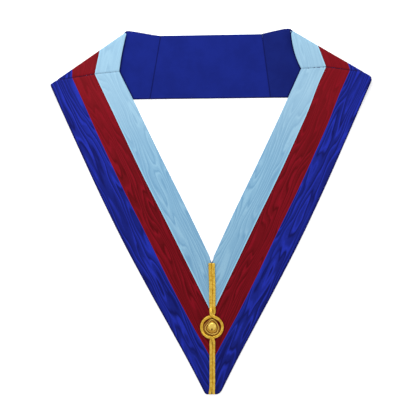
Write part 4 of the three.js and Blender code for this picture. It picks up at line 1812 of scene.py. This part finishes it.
@dataclass(frozen=True)
class GoldThread:
    """Gilt wire thread, bright on its ribs, with painted shade that browns it in the hollows between them."""

    name: str = "gold_thread"
    bright: Colour = colour(255, 214, 84)
    body: Colour = colour(232, 182, 48)
    # hollow is the colour of the painted shade in the thread's hollows.
    hollow: Colour = colour(140, 88, 26)
    wire: float = 0.24 * MM

    def material(self) -> bpy.types.Material:
        """Build the finish."""
        shader = Shader(self.name)
        thread = shader.add("ShaderNodeUVMap", uv_map="thread").outputs[0]
        place = shader.add("ShaderNodeTexCoord").outputs["Object"]
        patches = shader.noise(place, 240.0, 2.0, 0.6)
        tone = shader.mix(shader.remap(patches, 0.35, 0.65, 0.0, 1.0), self.body, self.bright)
        # Painted shade, by the hollow mark.
        deep = shader.remap(shader.mark("hollow"), 0.25, 0.95, 0.0, 1.0)
        tone = shader.mix(deep, tone, self.hollow)
        split = shader.add("ShaderNodeSeparateXYZ", {0: thread})
        slanted = shader.sum("ADD", split.outputs[0], split.outputs[1])
        wires = shader.sum("SINE", shader.sum("MULTIPLY", slanted, 2 * math.pi / self.wire))
        bump = shader.add("ShaderNodeBump",
                          {"Strength": 0.3, "Distance": 0.06 * MM, "Height": wires})
        rough = shader.remap(patches, 0.3, 0.7, 0.32, 0.46)
        return shader.finish({
            "Base Color": tone, "Roughness": rough, "Normal": bump.outputs[0], "Metallic": 0.7,
        })


@dataclass(frozen=True)
class GiltMetal:
    """Stamped gilt metal, worn bright where it stands proud and brown in its hollows."""

    name: str = "gilt_metal"
    bright: Colour = colour(255, 218, 100)
    body: Colour = colour(214, 156, 36)
    hollow: Colour = colour(112, 56, 22)

    def material(self) -> bpy.types.Material:
        """Build the finish."""
        shader = Shader(self.name)
        place = shader.add("ShaderNodeTexCoord").outputs["Object"]
        tarnish = shader.mark("hollow")
        tone = shader.mix(shader.remap(tarnish, 0.0, 0.3, 0.0, 1.0), self.bright, self.body)
        tone = shader.mix(shader.remap(tarnish, 0.3, 0.95, 0.0, 1.0), tone, self.hollow)
        pits = shader.noise(place, 900.0, 3.0, 0.6)
        tone = shader.mix(shader.remap(pits, 0.55, 0.75, 0.0, 0.35), tone, self.hollow)
        rough = shader.sum("MULTIPLY_ADD", tarnish, 0.3, shader.remap(pits, 0.3, 0.7, 0.2, 0.34))
        bump = shader.add("ShaderNodeBump",
                          {"Strength": 0.25, "Distance": 0.08 * MM, "Height": pits})
        return shader.finish({
            "Base Color": tone, "Roughness": rough, "Normal": bump.outputs[0], "Metallic": 0.5,
        })


@dataclass(frozen=True)
class SewingThread:
    """Dark blue sewing thread, twisted from two plies."""

    name: str
    tone: Colour
    ply: float = 0.35 * MM

    def material(self) -> bpy.types.Material:
        """Build the finish."""
        shader = Shader(self.name)
        place = shader.add("ShaderNodeTexCoord").outputs["Object"]
        split = shader.add("ShaderNodeSeparateXYZ", {0: place})
        slanted = shader.sum("ADD", split.outputs[0], split.outputs[1])
        plies = shader.sum("SINE", shader.sum("MULTIPLY", slanted, 2 * math.pi / self.ply))
        # Painted highlight and shade: each ply is lighter on its crest and darker in the dip beside it.
        lighter = tuple(min(1.0, channel * 1.6) for channel in self.tone[:3]) + (1.0,)
        tone = shader.mix(shader.remap(plies, -1.0, 1.0, 0.0, 1.0), self.tone, lighter)
        bump = shader.add("ShaderNodeBump",
                          {"Strength": 0.5, "Distance": 0.08 * MM, "Height": plies})
        return shader.finish({"Base Color": tone, "Roughness": 0.6, "Normal": bump.outputs[0],
                              "Specular IOR Level": 0.3})


@dataclass(frozen=True)
class PaperFloor:
    """The pale, even paper that the collar is laid on, lit a little from below."""

    name: str = "pale_paper"
    tone: Colour = (0.96, 0.96, 0.96, 1.0)
    glow: float = 0.36

    def material(self) -> bpy.types.Material:
        """Build the finish."""
        shader = Shader(self.name)
        place = shader.add("ShaderNodeTexCoord").outputs["Object"]
        fibres = shader.noise(place, 60.0, 3.0, 0.6)
        darker = tuple(channel * 0.995 for channel in self.tone[:3]) + (1.0,)
        tone = shader.mix(fibres, darker, self.tone)
        return shader.finish({"Base Color": tone, "Roughness": 0.9, "Specular IOR Level": 0.1,
                              "Emission Color": self.tone, "Emission Strength": self.glow})


@dataclass(frozen=True)
class Softbox:
    """One soft light of the studio.

    Attributes:
        name: the light's name.
        place: where it stands, in metres from the collar.
        size: its width.
        power: its power in watts.
    """

    name: str
    place: tuple[float, float, float]
    size: float
    power: float


class Studio:
    """The floor, the soft lights and the camera above the collar."""

    floor_width: float = 8.0
    lens: float = 100.0
    sensor: float = 36.0
    view_width: float = 601.1 * MM
    view_centre: tuple[float, float, float] = (-5.35 * MM, 76.3 * MM, 2.5 * MM)
    sky: Colour = (1.0, 1.0, 1.0, 1.0)
    sky_strength: float = 0.72
    softboxes: tuple[Softbox, ...] = (
        Softbox("softbox_neck", (-0.08, 0.44, 0.46), 0.42, 2.2),
        Softbox("softbox_left", (-2.1, 0.6, 1.9), 1.4, 8.0),
        Softbox("softbox_right", (2.1, -0.2, 1.9), 1.4, 5.0),
    )

    def place_camera(self, shift: Vector) -> None:
        """Look straight down, with the picture's frame.

        Args:
            shift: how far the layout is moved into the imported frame.
        """
        data = bpy.data.cameras.new("camera")
        data.lens, data.sensor_width = self.lens, self.sensor
        camera = bpy.data.objects.new("camera", data)
        distance = self.view_width * self.lens / self.sensor
        camera.location = Vector(self.view_centre) + shift + Vector((0, 0, distance))
        data.clip_start, data.clip_end = 0.05, 50
        bpy.context.scene.collection.objects.link(camera)
        bpy.context.scene.camera = camera

    def lay_floor(self) -> bpy.types.Object:
        """Lay the paper on the ground."""
        deselect_all()
        bpy.ops.mesh.primitive_plane_add(size=self.floor_width, location=(0, 0, -0.05 * MM))
        floor = bpy.context.object
        floor.name = "floor"
        floor.data.materials.append(PaperFloor().material())
        return floor

    def hang_lights(self) -> None:
        """Hang the softboxes, each aimed at the collar, in an evenly lit room."""
        world = bpy.data.worlds.new("room")
        world.use_nodes = True
        room = world.node_tree.nodes["Background"]
        room.inputs["Color"].default_value = self.sky
        room.inputs["Strength"].default_value = self.sky_strength
        bpy.context.scene.world = world
        for box in self.softboxes:
            data = bpy.data.lights.new(box.name, "AREA")
            data.shape, data.size, data.energy = "SQUARE", box.size, box.power
            light = bpy.data.objects.new(box.name, data)
            light.location = box.place
            light.visible_camera = False
            light.rotation_mode = "QUATERNION"
            light.rotation_quaternion = (-Vector(box.place)).to_track_quat("-Z", "Y")
            bpy.context.scene.collection.objects.link(light)
        bpy.context.scene.view_settings.view_transform = "Standard"


SILKS = {
    Layer.SKY: WateredSilk(
        name="sky_silk", dark=colour(116, 165, 201), middle=colour(138, 185, 216),
        light=colour(158, 203, 229),
        inner_line=colour(116, 166, 204), outer_line=colour(158, 220, 248),
        line_strength=(0.6, 0.95),
        lines=150.0, swing=10.0, grain=(0.12, 0.018), contrast=0.85, join_shade=0.24,
        edge_width=(1.6 * MM, 2.2 * MM), pale=0.44, neck_sheen_tone=colour(176, 211, 231),
    ),
    Layer.CRIMSON: WateredSilk(
        name="crimson_silk", dark=colour(86, 5, 10), middle=colour(118, 12, 23),
        light=colour(146, 16, 34),
        inner_line=colour(106, 0, 4), outer_line=colour(142, 13, 18), line_strength=(0.95, 0.6),
        lines=175.0, swing=10.5, grain=(0.13, 0.018), contrast=0.85, join_shade=0.7,
        edge_width=(2.5 * MM, 1.8 * MM), pale=0.5, neck_sheen_tone=colour(134, 17, 28),
    ),
    Layer.ROYAL: WateredSilk(
        name="royal_silk", dark=colour(15, 20, 92), middle=colour(25, 37, 134),
        light=colour(38, 54, 186),
        inner_line=colour(28, 54, 178), outer_line=colour(9, 10, 90), line_strength=(0.6, 1.0),
        lines=105.0, swing=9.0, grain=(0.125, 0.02), contrast=0.95,
        edge_width=(1.6 * MM, 2.9 * MM), join_shade=0.55,
    ),
}
STITCHES = {
    "left": StitchRow(places=(0.05, 0.12, 0.19, 0.26, 0.33, 0.4, 0.46), length=1.5 * MM,
                      thickness=0.4 * MM, skew=-55.0),
    "right": StitchRow(places=(0.098, 0.177, 0.226, 0.246, 0.299, 0.329, 0.422, 0.451, 0.531,
                               0.561, 0.66, 0.74),
                       length=1.7 * MM, thickness=0.8 * MM, skew=6.0),
}
THREADS = {
    "left": SewingThread("muted_thread", colour(70, 80, 130)),
    "right": SewingThread("dark_thread", colour(40, 26, 84)),
}


class Collar:
    """The whole collar: five panels of cloth, the mitre stitches, the braid and the button."""

    def __init__(self) -> None:
        """Lay both sides out and name the panels."""
        self.sizes = CollarSizes()
        ribbon = RibbonShape(STATIONS)
        self.sides = {"left": SideLayout(LEFT, self.sizes, ribbon),
                      "right": SideLayout(RIGHT, self.sizes, ribbon)}
        left, right = self.sides.values()
        across = (right.seam[OUTER_EDGE] - left.seam[OUTER_EDGE]).normalized()
        for side in self.sides.values():
            side.hem_turn = side.seam[OUTER_EDGE] + across * (side.shape.sign * self.sizes.hem_run)
        self.tip_height = self.sizes.tip_cut + max(self.point_height(side)
                                                   for side in self.sides.values())
        self.bench = Bench(self.tip_height, self.sizes.piece_gap)

    def point_height(self, side: SideLayout) -> float:
        """The level at which a side's outer edge would meet the centre line."""
        return side.rail_point(OUTER_EDGE, side.crossing(OUTER_EDGE, lambda along: 0.0)).y

    def panels(self) -> list[ClothPanel]:
        """The five panels of cloth."""
        panels: list[ClothPanel] = []
        for name, side in self.sides.items():
            panels.append(FrontPanel(self.bench, f"front_{name}", len(panels), side,
                                     self.tip_height))
            panels.append(ShoulderPanel(self.bench, f"shoulder_{name}", len(panels), side))
        panels.append(BackPanel(self.bench, "back", len(panels), self.sides["left"],
                                self.sides["right"]))
        return panels

    def build_cloth(self) -> None:
        """Make every layer of every panel."""
        silks = {layer: silk.material() for layer, silk in SILKS.items()}
        lining = LiningCloth().material()
        # Painted shade: the right shoulder's lining gets a darker copy of the lining, for the shade that flap
        # lies in.
        painted_shade_copy = LiningCloth(name="lining_cloth_against_nap", dark=colour(20, 31, 105),
                                  light=colour(23, 36, 114)).material()
        for panel in self.panels():
            for layer in STRIPES:
                panel.build(layer, RIBBON_WALL, silks[layer])
            cloth = painted_shade_copy if panel.name == "shoulder_right" else lining
            panel.build(Layer.LINING, LINING_WALL, cloth)

    def build_stitches(self) -> None:
        """Sew both mitres."""
        for name, side in self.sides.items():
            stitches = MitreStitches(self.bench, side, STITCHES[name])
            stitches.build(f"mitre_stitches_{name}", THREADS[name].material())

    def build_braid(self) -> None:
        """Lay the two strands, and the button in their ring."""
        braid = Braid(self.bench, BraidSizes(), self.sizes, self.tip_height)
        gold = GoldThread().material()
        braid.build(-1, "braid_left", gold)
        braid.build(1, "braid_right", gold)
        centre = Vector((braid.sizes.shift + braid.sizes.ring_shift, -braid.sizes.ring_drop))
        base = self.sizes.cloth_wall + 0.05 * MM
        Button(self.bench, centre, base).build(GiltMetal().material())


def main() -> None:
    """Build the studio and the collar, piece by piece."""
    logging.basicConfig(level=logging.INFO, format="%(name)s: %(message)s")
    studio = Studio()
    collar = Collar()
    studio.place_camera(collar.bench.shift)
    studio.lay_floor()
    studio.hang_lights()
    collar.build_cloth()
    collar.build_stitches()
    collar.build_braid()


if __name__ == "__main__":
    main()
